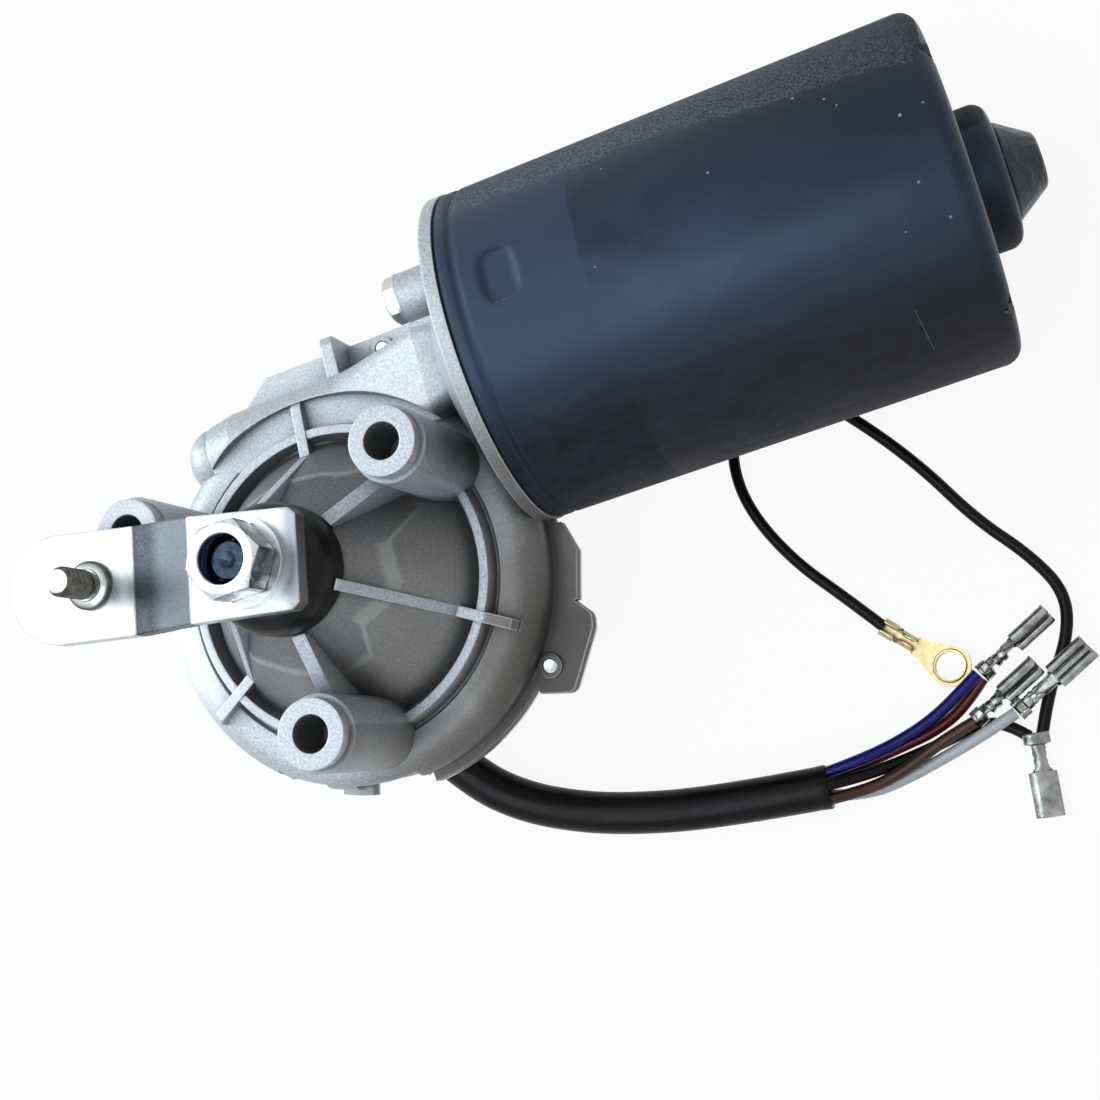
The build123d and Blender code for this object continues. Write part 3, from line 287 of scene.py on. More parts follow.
def stud_look():
    """Plated steel, dark on its threads, lighter on its turned ends and other faces that point up."""
    look = Look("crank_stud", Metallic=1.0)
    streak = look.noise(500.0, 3.0, 0.6)
    end = look.band(look.normal_axis("Z"), 0.85, 0.97)
    base = look.mix(look.band(streak, 0.3, 0.7), (0.045, 0.046, 0.04), (0.15, 0.155, 0.14))
    look.set(Base_Color=look.mix(end, base, (0.5, 0.51, 0.5)), Roughness=look.band(streak, 0.3, 0.7, 0.24, 0.38))
    look.bump((streak, 0.1, 0.0001), soften=0.0002)
    return look.material


def cap_look():
    """Black moulded cap over the rear bearing, crinkled on its cone."""
    look = Look("rear_cap", IOR=1.5, Specular_Tint=(0.7, 0.85, 1.0))
    crinkle = look.noise(170.0, 3.0, 0.55, distortion=1.2)
    fine = look.noise(700.0, 2.0, 0.5)
    cone = look.band(look.axis("X"), 0.2035, 0.205)
    base = look.mix(look.math("MULTIPLY", cone, look.band(crinkle, 0.4, 0.65)), (0.004, 0.006, 0.009),
                    (0.02, 0.022, 0.024))
    look.set(Base_Color=base, Roughness=look.band(fine, 0.3, 0.7, 0.24, 0.34))
    look.bump((look.math("MULTIPLY", crinkle, cone), 0.7, 0.0012), (fine, 0.05, 0.0001), soften=0.0008)
    return look.material


looks = {
    "cast_aluminium": cast_look(),
    "black_paint": paint_look(),
    "zinc_steel": metal_look("zinc_steel", (0.58, 0.59, 0.61), (0.7, 0.71, 0.72), 0.28, scale=140.0),
    "machined_steel": metal_look("machined_steel", (0.4, 0.41, 0.43), (0.62, 0.63, 0.65), 0.3, (1.0, 1.0, 9.0)),
    "plated_plate": plate_look(),
    "gasket_paper": soft_look("gasket_paper", (0.03, 0.03, 0.03), (0.06, 0.06, 0.058), 0.75),
    "sintered_bronze": metal_look("sintered_bronze", (0.3, 0.2, 0.1), (0.55, 0.4, 0.22), 0.45),
    "black_rubber": soft_look("black_rubber", (0.003, 0.003, 0.003), (0.006, 0.006, 0.006), 0.34, 500.0, 0.05,
                              Specular_IOR_Level=0.2),
    "white_nylon": soft_look("white_nylon", (0.7, 0.69, 0.64), (0.8, 0.79, 0.75), 0.4),
    "brown_laminate": soft_look("brown_laminate", (0.16, 0.08, 0.04), (0.28, 0.16, 0.08), 0.5),
    "carbon": soft_look("carbon", (0.02, 0.02, 0.02), (0.06, 0.055, 0.05), 0.5),
    "ferrite": soft_look("ferrite", (0.03, 0.03, 0.033), (0.06, 0.06, 0.065), 0.6),
    "lamination_steel": metal_look("lamination_steel", (0.16, 0.16, 0.17), (0.34, 0.34, 0.35), 0.4,
                                   (14.0, 0.5, 0.5), 260.0, 0.4),
    "copper": metal_look("copper", (0.45, 0.16, 0.07), (0.75, 0.36, 0.2), 0.32),
    "contact_brass": metal_look("contact_brass", (0.44, 0.36, 0.19), (0.62, 0.53, 0.32), 0.36, scale=500.0, bump=0.03,
                                soften=None),
    "tinned_brass": metal_look("tinned_brass", (0.14, 0.145, 0.14), (0.4, 0.41, 0.4), 0.26, scale=250.0, bump=0.02,
                               soften=None),
    "black_pvc": soft_look("black_pvc", (0.003, 0.003, 0.004), (0.008, 0.006, 0.007), 0.3, 160.0, 0.02, None,
                           Specular_IOR_Level=0.12),
    "red_pvc": soft_look("red_pvc", (0.07, 0.004, 0.006), (0.13, 0.008, 0.01), 0.32, 160.0, 0.02, None,
                         Specular_IOR_Level=0.3),
    "blue_pvc": soft_look("blue_pvc", (0.001, 0.001, 0.1), (0.003, 0.003, 0.2), 0.28, 160.0, 0.02, None,
                          Specular_IOR_Level=0.25),
    "brown_pvc": soft_look("brown_pvc", (0.03, 0.01, 0.006), (0.07, 0.022, 0.014), 0.32, 160.0, 0.02, None,
                           Specular_IOR_Level=0.3),
    "white_pvc": soft_look("white_pvc", (0.5, 0.52, 0.57), (0.6, 0.62, 0.66), 0.38, 160.0, 0.02, None),
    # Near-black steel for the shaft end deep in the nut bore: dark oiled steel, darker still as painted shade.
    "oiled_steel_and_shade": metal_look("oiled_steel_and_shade", (0.012, 0.02, 0.035), (0.04, 0.06, 0.09), 0.25, scale=500.0),
    "pale_speck": soft_look("pale_speck", (0.14, 0.17, 0.22), (0.32, 0.35, 0.4), 0.5),
}
for part in frame["record"]["subparts"]:
    mesh = nodes[part["node"]].data
    mesh.materials.clear()
    mesh.materials.append(looks[part["material_slot"]])
nodes["rear_cap"].data.materials[0] = cap_look()


# ---------------------------------------------------------------- mesh helpers
def piece(name, mesh_data, body, slot, replaces=(), look=None, sharp=35.0):
    """A mesh in millimetres of the row frame, riding on a body."""
    points, faces = mesh_data
    mesh = bpy.data.meshes.new(name)
    mesh.from_pydata([Vector(p) * MM for p in points], [], faces)
    mesh.validate()
    form = bmesh.new()
    form.from_mesh(mesh)
    bmesh.ops.recalc_face_normals(form, faces=form.faces)
    form.to_mesh(mesh)
    form.free()
    mesh.materials.append(look or looks[slot])
    mesh.polygons.foreach_set("use_smooth", [True] * len(mesh.polygons))
    mesh.set_sharp_from_angle(angle=math.radians(sharp))
    obj = bpy.data.objects.new(name, mesh)
    scene.collection.objects.link(obj)
    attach(obj, body)
    if replaces:
        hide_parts(*replaces)
    return obj


def joined(*meshes):
    """Several (points, faces) meshes as one."""
    points, faces = [], []
    for more_points, more_faces in meshes:
        faces += [[len(points) + k for k in face] for face in more_faces]
        points += more_points
    return points, faces


def placed(mesh_data, origin, z_dir=(0, 0, 1), x_dir=(1, 0, 0)):
    """A local mesh moved to origin, with its Z and X turned to the given directions."""
    z = Vector(z_dir).normalized()
    x = Vector(x_dir) - z * z.dot(Vector(x_dir))
    x.normalize()
    y = z.cross(x)
    points, faces = mesh_data
    return [Vector(origin) + x * p[0] + y * p[1] + z * p[2] for p in points], faces


def lathe(profile, segments=48, shape=None, loop=False):
    """A profile of (radius, height) points turned about Z. shape may change a radius by height and angle."""
    points, rows, faces = [], [], []
    for radius, height in profile:
        count = segments if radius > 0 else 1
        rows.append(range(len(points), len(points) + count))
        for k in range(count):
            angle = 2 * math.pi * k / segments
            r = shape(radius, height, angle) if shape and radius > 0 else radius
            points.append((r * math.cos(angle), r * math.sin(angle), height))
    for low, high in list(zip(rows, rows[1:])) + ([(rows[-1], rows[0])] if loop else []):
        for k in range(segments):
            ring = (low[k % len(low)], low[(k + 1) % len(low)], high[(k + 1) % len(high)], high[k % len(high)])
            corners = list(dict.fromkeys(ring))
            if len(corners) > 2:
                faces.append(corners)
    return points, faces


def steps(low, high, size):
    """Heights from low to high, about a step apart."""
    count = max(1, round(abs(high - low) / size))
    return [low + (high - low) * k / count for k in range(count + 1)]


def hexagon(flat_r, bottom, top, face_r, slope=1.73, both=True):
    """Shape of a hexagonal head whose corners are turned off to a cone at its face."""
    def shape(radius, height, angle):
        if radius < face_r - 0.001:
            return radius
        turn = angle % (math.pi / 3) - math.pi / 6
        depth = min(height - bottom, top - height) if both else top - height
        return min(flat_r / math.cos(turn), face_r + depth * slope)
    return shape


def screw_thread(major, depth, pitch, low, high):
    """Shape of a thread cut into a shank of the major radius between two heights."""
    def shape(radius, height, angle):
        if abs(radius - major) > 0.001 or not low <= height <= high:
            return radius
        phase = (height / pitch - angle / (2 * math.pi)) % 1.0
        run_out = min(1.0, (height - low) / pitch, (high - height) / pitch)
        return radius - depth * run_out * (1 - abs(2 * phase - 1))
    return shape


def plate(outline, holes, bottom, top):
    """A flat sheet with holes, from loops of (x, y) points."""
    loops = [[(x, y, 0.0) for x, y in loop] for loop in [outline] + holes]
    triangles = tessellate_polygon(loops)
    flat = [spot for loop in loops for spot in loop]
    points = [(x, y, z) for z in (bottom, top) for x, y, _ in flat]
    faces = [[k + shift for k in tri] for tri in triangles for shift in (0, len(flat))]
    first = 0
    for loop in loops:
        for k in range(len(loop)):
            a, b = first + k, first + (k + 1) % len(loop)
            faces.append([a, b, b + len(flat), a + len(flat)])
        first += len(loop)
    return points, faces


def ring_points(centre, radius, count, start=0.0, turn=360.0):
    """Points on an arc about a centre."""
    spans = count if turn == 360.0 else count - 1
    angles = [math.radians(start + turn * k / spans) for k in range(count)]
    return [(centre[0] + radius * math.cos(a), centre[1] + radius * math.sin(a)) for a in angles]


def fold(flat, curl, angle, bottom, count=10):
    """Section of a folded strip: a flat floor, and an edge on each side curled up through an angle."""
    total = flat + curl * math.radians(angle)
    half = []
    for k in range(count + 1):
        run = total * k / count
        turn = max(0.0, run - flat) / curl
        half.append((min(run, flat) + curl * math.sin(turn), bottom + curl * (1 - math.cos(turn))))
    return [(-y, z) for y, z in reversed(half[1:])] + half


def strip(sections):
    """A sheet through (x, section) stations."""
    width = len(sections[0][1])
    points = [(x, y, z) for x, section in sections for y, z in section]
    faces = []
    for row in range(len(sections) - 1):
        for k in range(width - 1):
            a = row * width + k
            faces.append([a, a + 1, a + width + 1, a + width])
    return points, faces


def sheet_metal(name, mesh_data, thickness, body, slot, replaces):
    """A piece of sheet with its real thickness."""
    obj = piece(name, mesh_data, body, slot, replaces, sharp=50.0)
    solid = obj.modifiers.new("thickness", "SOLIDIFY")
    solid.thickness = thickness * MM
    solid.offset = 0.0
    return obj


def ridges(paths, half_width, height):
    """Low raised lines; each path is a list of (point, surface normal)."""
    parts = []
    for path in paths:
        points, faces = [], []
        last = len(path) - 1
        for k, (spot, normal) in enumerate(path):
            along = path[min(k + 1, last)][0] - path[max(k - 1, 0)][0]
            side = normal.cross(along).normalized() * half_width
            rise = height * (0.15 if k in (0, last) else 1.0)
            points += [spot - side - normal * 0.06, spot - side * 0.3 + normal * rise,
                       spot + side * 0.3 + normal * rise, spot + side - normal * 0.06]
        for k in range(last):
            for j in range(4):
                a, b = 4 * k + j, 4 * k + (j + 1) % 4
                faces.append([a, b, b + 4, a + 4])
        faces += [[0, 1, 2, 3], [4 * last + j for j in range(4)]]
        parts.append((points, faces))
    return joined(*parts)


def on_can(x, side):
    """Point and normal on the motor case, at an angle from Z towards Y."""
    turn = math.radians(side)
    normal = Vector((0, math.sin(turn), math.cos(turn)))
    return Vector((x, MOTOR_Y, MOTOR_Z)) + normal * CAN_R, normal


# ---------------------------------------------------------------- crank fasteners
CRANK_ANGLE, CRANK_THROW = math.radians(168.6), 48.5
ARM_BOTTOM, ARM_TOP = 2.2, 7.2
WASHER_TOP, NUT_TOP = 16.1, 26.0
SHAFT_TIP = 21.0

nut_flat, nut_bore, nut_face = 9.0, 6.0, 8.6
outer = [(nut_flat + 1.5, z) for z in steps(WASHER_TOP, WASHER_TOP + 1.0, 0.25)[1:]]
outer += [(nut_flat + 1.5, z) for z in steps(WASHER_TOP + 1.0, NUT_TOP - 1.0, 2.0)[1:]]
outer += [(nut_flat + 1.5, z) for z in steps(NUT_TOP - 1.0, NUT_TOP, 0.2)[1:-1]]
inner = [(nut_bore, z) for z in steps(NUT_TOP - 0.7, SHAFT_TIP, 0.15)]
nut_profile = ([(nut_bore, WASHER_TOP), (nut_face, WASHER_TOP)] + outer
               + [(nut_face, NUT_TOP), (nut_bore + 0.5, NUT_TOP)] + inner)
nut_hex = hexagon(nut_flat, WASHER_TOP, NUT_TOP, nut_face)
nut_thread = screw_thread(nut_bore, 0.6, 1.5, SHAFT_TIP, NUT_TOP)


def nut_shape(radius, height, angle):
    return nut_hex(radius, height, angle) if radius > nut_face else nut_thread(radius, height, angle)


piece("crank_nut_turned", lathe(nut_profile, 96, nut_shape, loop=True), "output", "zinc_steel",
      ["crank_nut"], look=nut_look(), sharp=28.0)
piece("shaft_centre", lathe([(0, SHAFT_TIP - 0.2), (5.1, SHAFT_TIP - 0.2), (5.1, 21.5), (4.6, 22.0),
                             (2.3, 22.0), (2.0, 21.9), (0.6, 21.2), (0, 21.2)], 48),
      "output", "machined_steel", look=looks["oiled_steel_and_shade"])

stud_collar_top, stud_tip = ARM_TOP + 2.6, ARM_TOP + 15.0
stud_profile = [(0, ARM_BOTTOM), (4.0, ARM_BOTTOM), (4.0, ARM_TOP), (6.5, ARM_TOP + 0.02)]
stud_profile += [(6.5 * math.cos(a), ARM_TOP + 1.0 + 1.6 * math.sin(a)) for a in steps(0, 0.85, 0.12)]
stud_profile += [(4.2, stud_collar_top), (3.5, stud_collar_top + 0.1), (3.5, stud_collar_top + 1.2),
                 (4.0, stud_collar_top + 1.6)]
stud_profile += [(4.0, z) for z in steps(stud_collar_top + 1.7, stud_tip - 1.0, 0.14)]
stud_profile += [(3.2, stud_tip - 0.1), (3.0, stud_tip), (0, stud_tip)]
stud_spot = (CRANK_THROW * math.cos(CRANK_ANGLE), CRANK_THROW * math.sin(CRANK_ANGLE), 0)
stud_cut = screw_thread(4.0, 0.55, 1.25, stud_collar_top + 1.7, stud_tip + 0.3)
piece("crank_stud_threaded", placed(lathe(stud_profile, 40, stud_cut), stud_spot), "output",
      "zinc_steel", ["crank_stud"], look=stud_look())

# ---------------------------------------------------------------- case bolts and cover screws
BOLT_SEAT_X, BOLT_HEAD, BOLT_REACH = 49.5, 4.2, 24.0
bolt_profile = [(0, BOLT_HEAD - 0.3), (3.2, BOLT_HEAD - 0.3), (3.8, BOLT_HEAD)]
bolt_profile += [(6.5, z) for z in steps(BOLT_HEAD - 0.01, BOLT_HEAD - 0.9, 0.2)]
bolt_profile += [(6.5, 0.9), (6.75, 0.85), (6.75, 0.1), (6.6, 0.0), (3.0, 0.0), (3.0, -BOLT_REACH), (0, -BOLT_REACH)]
bolt_hex = hexagon(5.6, 0.0, BOLT_HEAD, 5.0, both=False)


def bolt_shape(radius, height, angle):
    return bolt_hex(radius, height, angle) if radius == 6.5 else radius


bolt_spots = [(MOTOR_Y + 41.0 * math.sin(math.radians(s)), MOTOR_Z + 41.0 * math.cos(math.radians(s)))
              for s in (17.0, 197.0)]
piece("case_bolts_turned",
      joined(*[placed(lathe(bolt_profile, 48, bolt_shape), (BOLT_SEAT_X, y, z), (-1, 0, 0), (0, 1, 0.35))
               for y, z in bolt_spots]),
      "housing", "zinc_steel", ["case_bolts"], sharp=28.0)

SCREW_RIM, SCREW_HEAD, SCREW_TIP = -65.1, 3.2, -58.4
screw_profile = [(0, SCREW_RIM - SCREW_HEAD + 0.4), (2.2, SCREW_RIM - SCREW_HEAD + 0.4), (2.8, SCREW_RIM - SCREW_HEAD)]
screw_profile += [(4.6, z) for z in steps(SCREW_RIM - SCREW_HEAD + 0.01, SCREW_RIM - SCREW_HEAD + 0.9, 0.2)]
screw_profile += [(4.6, SCREW_RIM), (2.3, SCREW_RIM), (2.3, SCREW_TIP - 0.5), (1.8, SCREW_TIP), (1.2, SCREW_TIP - 0.15),
                  (0, SCREW_TIP - 0.15)]


def screw_shape(radius, height, angle):
    if radius != 4.6:
        return radius
    turn = angle % (math.pi / 3) - math.pi / 6
    return min(4.0 / math.cos(turn), 3.6 + (height - SCREW_RIM + SCREW_HEAD) * 1.73)


screw_spots = [(48.2, -38.4), (24.0, 66.8), (-14.0, 58.5), (-16.5, -51.0), (-52.2, 10.0)]
piece("cover_screws_turned",
      joined(*[placed(lathe(screw_profile, 48, screw_shape), (x, y, 0)) for x, y in screw_spots]),
      "housing", "zinc_steel", ["cover_screws"], sharp=28.0)

# ---------------------------------------------------------------- panel facets, paint specks, scratch
# The cone between the ribs: (radius, height) at its top and its foot
PANEL_TOP, PANEL_FOOT = (17.2, -9.0), (41.0, -45.0)
PANEL_SLOPE = (PANEL_TOP[1] - PANEL_FOOT[1]) / (PANEL_FOOT[0] - PANEL_TOP[0])
FACET_RISE = 2.0
# Corners of the crease round the panels, each with the width of the painted highlight band up to the next one
facet_line = [(Vector((x, y)), band) for x, y, band in (
    (33.4, 11.5, 0.7), (26.3, 1.6, 3.0), (25.9, -9.6, 3.0), (23.2, -14.0, 3.0), (14.2, -19.3, 0.7), (11.6, -26.4, 1.2),
    (0.5, -29.5, 1.6), (-11.0, -24.5, 1.6), (-21.5, -18.0, 1.2), (-27.5, -7.0, 1.6), (-27.0, 8.0, 1.6),
    (-21.5, 17.0, 1.2), (-12.5, 25.0, 1.6), (-2.0, 27.5, 1.6), (9.0, 27.0, 1.2), (14.5, 25.5, 1.6), (22.5, 26.0, 1.6))]


def facet(x, y):
    """Height of the panels, which rise in flat facets to the crease and fall away outside it, and the strength of the
    painted highlight band along the crease.
    """
    radius, spot = math.hypot(x, y), Vector((x, y))
    rise, painted_facet_light = 0.0, 0.0
    for (start, band), (end, _) in zip(facet_line, facet_line[1:] + facet_line[:1]):
        if start.cross(spot) <= 0 < end.cross(spot):
            outward = Vector((start.y - end.y, end.x - start.x)).normalized()
            crease = radius * start.dot(outward) / spot.dot(outward)
            rise = min((radius - PANEL_TOP[0]) / (crease - PANEL_TOP[0]),
                       (PANEL_FOOT[0] - radius) / (PANEL_FOOT[0] - crease))
            inside = start.dot(outward) - spot.dot(outward)
            in_band = min(inside / 0.5 + 0.5, (band - inside) / (0.5 + 0.25 * band) + 0.5)
            painted_facet_light = max(0.15 if inside < 0 else 0.0, min(1.0, in_band) * (1.0 if band < 1.0 else 0.6))
    height = PANEL_TOP[1] - PANEL_SLOPE * (radius - PANEL_TOP[0]) + 0.05 + FACET_RISE * max(0.0, rise)
    return height, 1.0 + painted_facet_light


rings, turns = steps(PANEL_TOP[0], PANEL_FOOT[0] - 0.3, 0.4), 400
panel_spots = [(r * math.cos(a), r * math.sin(a)) for r in rings
               for a in steps(0, 2 * math.pi, 2 * math.pi / turns)[:-1]]
panel_facets = [(x, y, *facet(x, y)) for x, y in panel_spots]
panel_faces = [[turns * j + k, turns * j + (k + 1) % turns, turns * (j + 1) + (k + 1) % turns, turns * (j + 1) + k]
               for j in range(len(rings) - 1) for k in range(turns)]
panels = piece("panel_facets", ([spot[:3] for spot in panel_facets], panel_faces), "housing", "cast_aluminium",
               sharp=60.0)
# The facets' painted highlight strength, 1 plus the band, goes to the cast look as a point attribute.
panels.data.attributes.new("painted_facet_light", "FLOAT", "POINT").data.foreach_set("value", [spot[3] for spot in panel_facets])

speck_spots = [(160.6, 28.1, 0.45), (167.7, 22.8, 0.35), (170.1, 18.8, 0.3), (183.2, 7.7, 0.5), (189.1, 8.9, 0.35),
               (136.0, 13.0, 0.4), (182.4, -12.7, 0.4), (102.6, -2.5, 0.35), (109.9, 30.6, 0.3),
               (186.8, -25.0, 0.4), (176.0, -24.6, 0.3)]
speck = [(1.0, -0.1), (0.9, 0.12), (0.5, 0.22), (0, 0.25)]
specks = []
for x, side, size in speck_spots:
    spot, normal = on_can(x, side)
    specks.append(placed(lathe([(r * size, h * size) for r, h in speck], 10), spot, normal))
piece("paint_specks", joined(*specks), "housing", "black_paint", look=looks["pale_speck"])
scratch = [on_can(172.3 + 1.5 * k / 12, -48.1 - 17.6 * k / 12) for k in range(13)]
piece("paint_scratch", ridges([scratch], 0.14, 0.05), "housing", "black_paint", look=looks["pale_speck"])


# ---------------------------------------------------------------- terminals
TERMINAL_SHEET = 0.5


def receptacle(name, node, origin, heading, length, roll, grip=2.8):
    """Push-on receptacle folded from one strip: wire crimp, neck, conductor crimp, neck, rolled box."""
    box = length - 12.5
    crimp, neck = fold(grip - 2.1, 2.0, 160.0, -2.1), fold(0.9, 0.9, 75.0, -1.5)
    barrel, pinch = fold(0.25, 1.45, 160.0, -1.6), fold(0.25, 1.2, 165.0, -1.45)
    floor_in, rolled = fold(1.7, 1.0, 60.0, -1.35), fold(2.35, 1.32, 285.0, -1.35)
    lip = fold(2.35, 1.32, 285.0, -1.6)
    stations = [(0.0, crimp), (0.9, crimp), (1.1, fold(grip - 2.2, 1.95, 160.0, -2.05)), (1.3, crimp), (2.9, crimp),
                (3.4, neck), (4.9, neck), (5.3, barrel), (6.2, barrel), (6.6, pinch), (7.2, pinch), (7.6, barrel),
                (8.6, barrel), (9.0, neck), (box - 1.0, neck), (box - 0.2, floor_in), (box + 0.3, rolled),
                (box + 2.2, rolled), (box + 4.4, rolled), (box + 7.0, rolled), (box + 9.6, rolled),
                (box + 11.6, rolled), (length, lip)]
    turn = Matrix.Rotation(math.radians(heading), 3, "Z") @ Matrix.Rotation(math.radians(roll), 3, "X")
    points, faces = strip(stations)
    points = [turn @ Vector(p) + Vector(origin) for p in points]
    return sheet_metal(name, (points, faces), TERMINAL_SHEET, "housing", "tinned_brass", [node])


receptacles = {
    "terminal_blue": receptacle("receptacle_blue", "terminal_blue", (158.1, -72.3, -96.8), 26.6, 25.0, 55.0, 3.0),
    "terminal_brown": receptacle("receptacle_brown", "terminal_brown", (152.7, -84.3, -94.4), 26.6, 23.0, 50.0),
    "terminal_white": receptacle("receptacle_white", "terminal_white", (164.1, -84.9, -95.4), 26.8, 26.5, -10.0),
    "terminal_black": receptacle("receptacle_black", "terminal_black", (167.0, -91.7, -98.3), -97.4, 23.3, 172.0, 3.6),
}

RING_SPOT, LEAD_END, EYE_Z, BARREL_Z = (150.9, -67.9), (136.2, -51.6), -100.9, -98.7
eye_reach = math.dist(RING_SPOT, LEAD_END)
eye_r, eye_hole_r, eye_sheet, eye_bend = 5.9, 4.2, 1.2, math.radians(12.0)
bend_x, tangent = 10.4 - eye_reach, 112.0
outline = [(bend_x, -2.4)] + ring_points((0, 0), eye_r, 49, -tangent, 2 * tangent) + [(bend_x, 2.4)]
eye = plate(outline, [ring_points((0, 0), eye_hole_r, 40)], EYE_Z, EYE_Z + eye_sheet)
lip = lathe([(4.2, EYE_Z + 1.1), (4.2, EYE_Z + 1.6), (4.6, EYE_Z + 1.65), (5.0, EYE_Z + 1.1)], 40, loop=True)
eye = joined(eye, lip)
eye = ([(bend_x + (x - bend_x) * math.cos(eye_bend) - (z - EYE_Z) * math.sin(eye_bend), y,
         EYE_Z + (x - bend_x) * math.sin(eye_bend) + (z - EYE_Z) * math.cos(eye_bend)) for x, y, z in eye[0]], eye[1])
heading = math.atan2(RING_SPOT[1] - LEAD_END[1], RING_SPOT[0] - LEAD_END[0])
eye = placed(eye, (*RING_SPOT, 0), x_dir=(math.cos(heading), math.sin(heading), 0))
grip = [fold(0.4, 2.05, 155.0, -1.95), fold(0.4, 1.9, 160.0, -1.95), fold(0.9, 1.2, 75.0, -1.7),
        fold(0.3, 1.55, 165.0, -1.7), fold(1.6, 1.0, 50.0, -1.6), fold(2.2, 0.6, 12.0, -1.4)]
stations = [(-0.6, grip[0]), (0.0, grip[1]), (3.6, grip[1]), (4.1, grip[2]), (5.2, grip[2]), (5.6, grip[3]),
            (9.4, grip[3]), (10.0, grip[4]), (12.0, grip[5])]
barrel = placed(strip(stations), (*LEAD_END, BARREL_Z), x_dir=(math.cos(heading), math.sin(heading), 0))
piece("ring_terminal_eye", eye, "housing", "contact_brass", ["ring_terminal"])
ring_barrel = sheet_metal("ring_terminal_barrel", barrel, 0.7, "housing", "contact_brass", ["ring_terminal"])


# ---------------------------------------------------------------- cords
def cord_curve(name, points, radius, body, slot, node):
    """A free cord: one NURBS spline through given control points, with a round section."""
    curve = bpy.data.curves.new(name, "CURVE")
    curve.dimensions = "3D"
    spline = curve.splines.new("NURBS")
    spline.points.add(len(points) - 1)
    for spot, point in zip(spline.points, points):
        spot.co = (*(Vector(point) * MM), 1.0)
    spline.order_u = 3
    spline.use_endpoint_u = True
    spline.use_smooth = True
    curve.resolution_u = 16
    curve.bevel_depth = radius * MM
    curve.bevel_resolution = 8
    curve.use_fill_caps = True
    curve.materials.append(looks[slot])
    obj = bpy.data.objects.new(name, curve)
    scene.collection.objects.link(obj)
    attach(obj, body)
    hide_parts(node)
    return obj


SHEATH_R, WIRE_R = 6.25, 1.7
SHEATH_Z, WIRE_Z, OVER_Z = -94.65, -99.2, -95.4
HIGH_Z = OVER_Z + 1.0
sheath_points = [(0.609, -50.963, -88.33), (6.901, -60.294, -90.694), (15.5, -68.6, -93.3),
                 (27.5, -75.6, SHEATH_Z), (46.0, -82.4, SHEATH_Z), (75.0, -88.2, SHEATH_Z),
                 (106.8, -90.8, SHEATH_Z)]
wire_points = {
    "red": [(107.6, -88.9, -98.2), (118.0, -87.6, -99.0), (130.0, -85.6, WIRE_Z), (141.0, -83.9, WIRE_Z),
            (150.6, -79.9, WIRE_Z), (158.0, -73.4, -98.3)],
    "blue": [(107.7, -87.0, -93.9), (118.0, -86.2, -94.3), (129.0, -84.4, OVER_Z), (139.5, -81.4, OVER_Z),
             (148.6, -77.0, OVER_Z), (157.2, -71.8, -95.3)],
    "black": [(107.6, -90.3, -90.8), (118.0, -90.6, -94.8), (130.0, -89.5, WIRE_Z), (142.5, -87.6, WIRE_Z),
              (154.0, -85.2, WIRE_Z), (161.0, -87.6, WIRE_Z), (165.2, -92.4, WIRE_Z)],
    "brown": [(107.3, -94.3, -92.9), (119.0, -94.8, -95.8), (131.0, -91.8, -96.0), (142.5, -87.0, OVER_Z),
              (152.5, -84.4, HIGH_Z)],
    "white": [(107.4, -93.5, -97.3), (118.0, -96.0, WIRE_Z), (130.0, -94.4, WIRE_Z), (141.0, -91.8, -98.6),
              (152.5, -88.8, -95.6), (163.8, -85.1, OVER_Z)],
}
lead_points = [(168.6, -92.8, WIRE_Z), (173.8, -81.8, WIRE_Z), (183.6, -68.6, WIRE_Z), (186.6, -56.6, WIRE_Z),
               (180.6, -43.8, WIRE_Z), (169.8, -29.6, WIRE_Z), (159.5, -9.5, WIRE_Z), (146.0, 9.7, WIRE_Z),
               (130.5, 27.0, WIRE_Z), (112.5, 22.5, WIRE_Z), (107.5, 7.0, WIRE_Z), (109.0, -8.0, WIRE_Z),
               (117.0, -25.5, WIRE_Z), (128.2, -40.3, WIRE_Z), (136.2, -51.6, WIRE_Z)]

sheath = cord_curve("sheath_cord", sheath_points, SHEATH_R, "housing", "black_pvc", "cable_sheath")
mouth_dir = Vector(sheath_points[-1]) - Vector(sheath_points[-2])
mouth = lathe([(6.3, -1.2), (6.35, 1.1), (6.2, 1.5), (5.4, 1.5), (5.2, 1.2), (5.2, -1.2)], 40, loop=True)
piece("sheath_mouth", placed(mouth, sheath_points[-1], mouth_dir, (0, 0, 1)), "housing", "black_pvc")
for colour, points in wire_points.items():
    wire = cord_curve("wire_cord_" + colour, points, WIRE_R, "housing", colour + "_pvc", "wire_" + colour)
lead = cord_curve("ground_cord", lead_points, WIRE_R, "housing", "black_pvc", "ground_lead")


# ---------------------------------------------------------------- floor, light, camera
def floor_look():
    """Pale plain floor: white to the camera, metal and glass, with the object's shadow kept."""
    look = Look("pale_floor", Base_Color=(0.8, 0.8, 0.8), Roughness=0.9)
    paths = look.add("LightPath")
    seen = look.math("MAXIMUM", paths.outputs["Is Camera Ray"],
                     look.math("MAXIMUM", paths.outputs["Is Glossy Ray"], paths.outputs["Is Transmission Ray"]))
    glow = look.add("Emission", Color=(1.0, 1.0, 1.0), Strength=1.0)
    blend = look.add("MixShader", i0=look.math("MULTIPLY", seen, 0.92), i1=look.shader.outputs[0],
                     i2=glow.outputs[0])
    look.feed(look.tree.nodes["Material Output"].inputs["Surface"], blend.outputs[0])
    return look.material


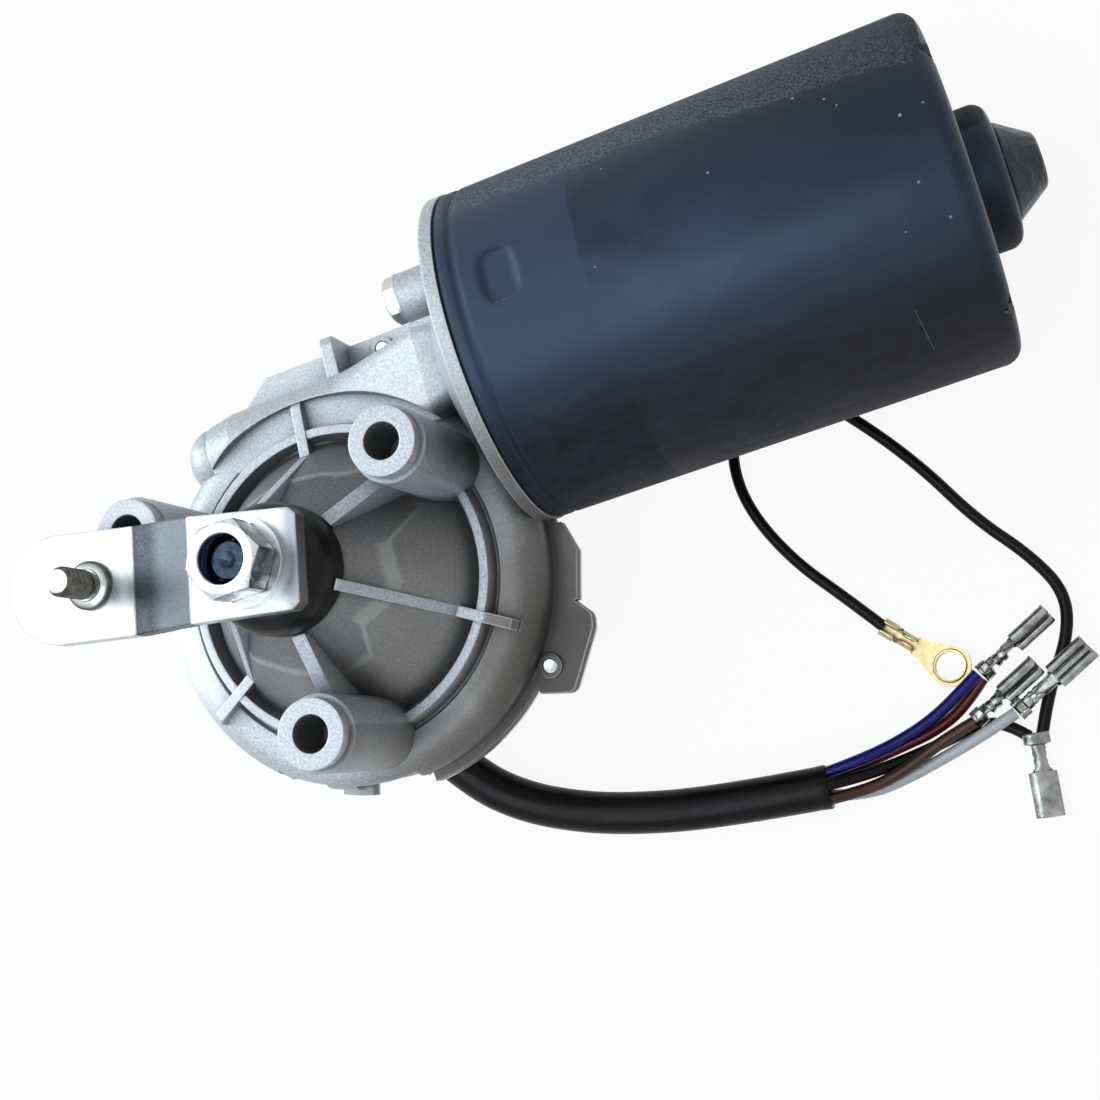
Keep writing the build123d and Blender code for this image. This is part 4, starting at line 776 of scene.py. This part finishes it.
FLOOR_HALF = 6.0             # metres
floor_mesh = bpy.data.meshes.new("floor")
floor_corners = ((-1, -1), (1, -1), (1, 1), (-1, 1))
floor_mesh.from_pydata([(FLOOR_HALF * x, FLOOR_HALF * y, FLOOR_Z * MM) for x, y in floor_corners], [], [(0, 1, 2, 3)])
floor_mesh.materials.append(floor_look())
floor = bpy.data.objects.new("floor", floor_mesh)
scene.collection.objects.link(floor)

# The world lights the object dimly, and is white to the camera, to metal and to glass
world = bpy.data.worlds.new("studio")
world.use_nodes = True
scene.world = world
world_nodes, world_links = world.node_tree.nodes, world.node_tree.links
world_nodes["Background"].inputs["Color"].default_value = (1.0, 0.95, 0.9, 1.0)
world_nodes["Background"].inputs["Strength"].default_value = 0.16
seen_world = world_nodes.new("ShaderNodeBackground")
seen_world.inputs["Color"].default_value = (1.0, 1.0, 1.0, 1.0)
seen_mix = world_nodes.new("ShaderNodeMixShader")
world_paths = world_nodes.new("ShaderNodeLightPath")
seen_ray = world_paths.outputs["Is Camera Ray"]
for kind in ("Is Glossy Ray", "Is Transmission Ray"):
    either = world_nodes.new("ShaderNodeMath")
    either.operation = "MAXIMUM"
    world_links.new(seen_ray, either.inputs[0])
    world_links.new(world_paths.outputs[kind], either.inputs[1])
    seen_ray = either.outputs[0]
world_links.new(seen_ray, seen_mix.inputs[0])
world_links.new(world_nodes["Background"].outputs[0], seen_mix.inputs[1])
world_links.new(seen_world.outputs[0], seen_mix.inputs[2])
world_links.new(seen_mix.outputs[0], world_nodes["World Output"].inputs["Surface"])

TARGET = Vector((60.0, 0.0, -30.0)) * MM


def softbox(name, direction, distance, size, power, colour):
    """Area light that looks at the middle of the object, from a distance and with a (width, height) in metres."""
    data = bpy.data.lights.new(name, "AREA")
    data.shape = "RECTANGLE"
    data.size, data.size_y = size
    data.energy = power
    data.color = colour
    obj = bpy.data.objects.new(name, data)
    scene.collection.objects.link(obj)
    away = Vector(direction).normalized()
    obj.location = TARGET + away * distance
    obj.rotation_mode = "QUATERNION"
    obj.rotation_quaternion = (-away).to_track_quat("-Z", "Y")


softbox("window", (-0.47, 0.2, 0.86), 1.2, (0.8, 0.7), 3.7, (0.92, 0.97, 1.0))
softbox("side", (-0.86, 0.4, 0.32), 1.2, (0.6, 0.6), 9.3, (0.86, 0.95, 1.0))
softbox("overhead", (-0.24, -0.36, 0.9), 1.0, (0.42, 0.95), 4.5, (0.78, 0.91, 1.0))

camera_data = bpy.data.cameras.new("camera")
camera_data.lens = 51.842
camera_data.sensor_width = 36.0
camera_data.clip_start, camera_data.clip_end = 0.01, 50.0
camera = bpy.data.objects.new("camera", camera_data)
scene.collection.objects.link(camera)
right, up, back = (Vector(row) for row in ((0.916187, -0.262279, -0.303005), (0.305144, 0.946698, 0.1032),
                                           (0.259787, -0.187011, 0.947385)))
turn = Matrix((right, up, back)).transposed()
camera.matrix_world = Matrix.Translation((0.17327, -0.09062, 0.36473)) @ turn.to_4x4()
scene.camera = camera

scene.view_settings.view_transform = "Standard"
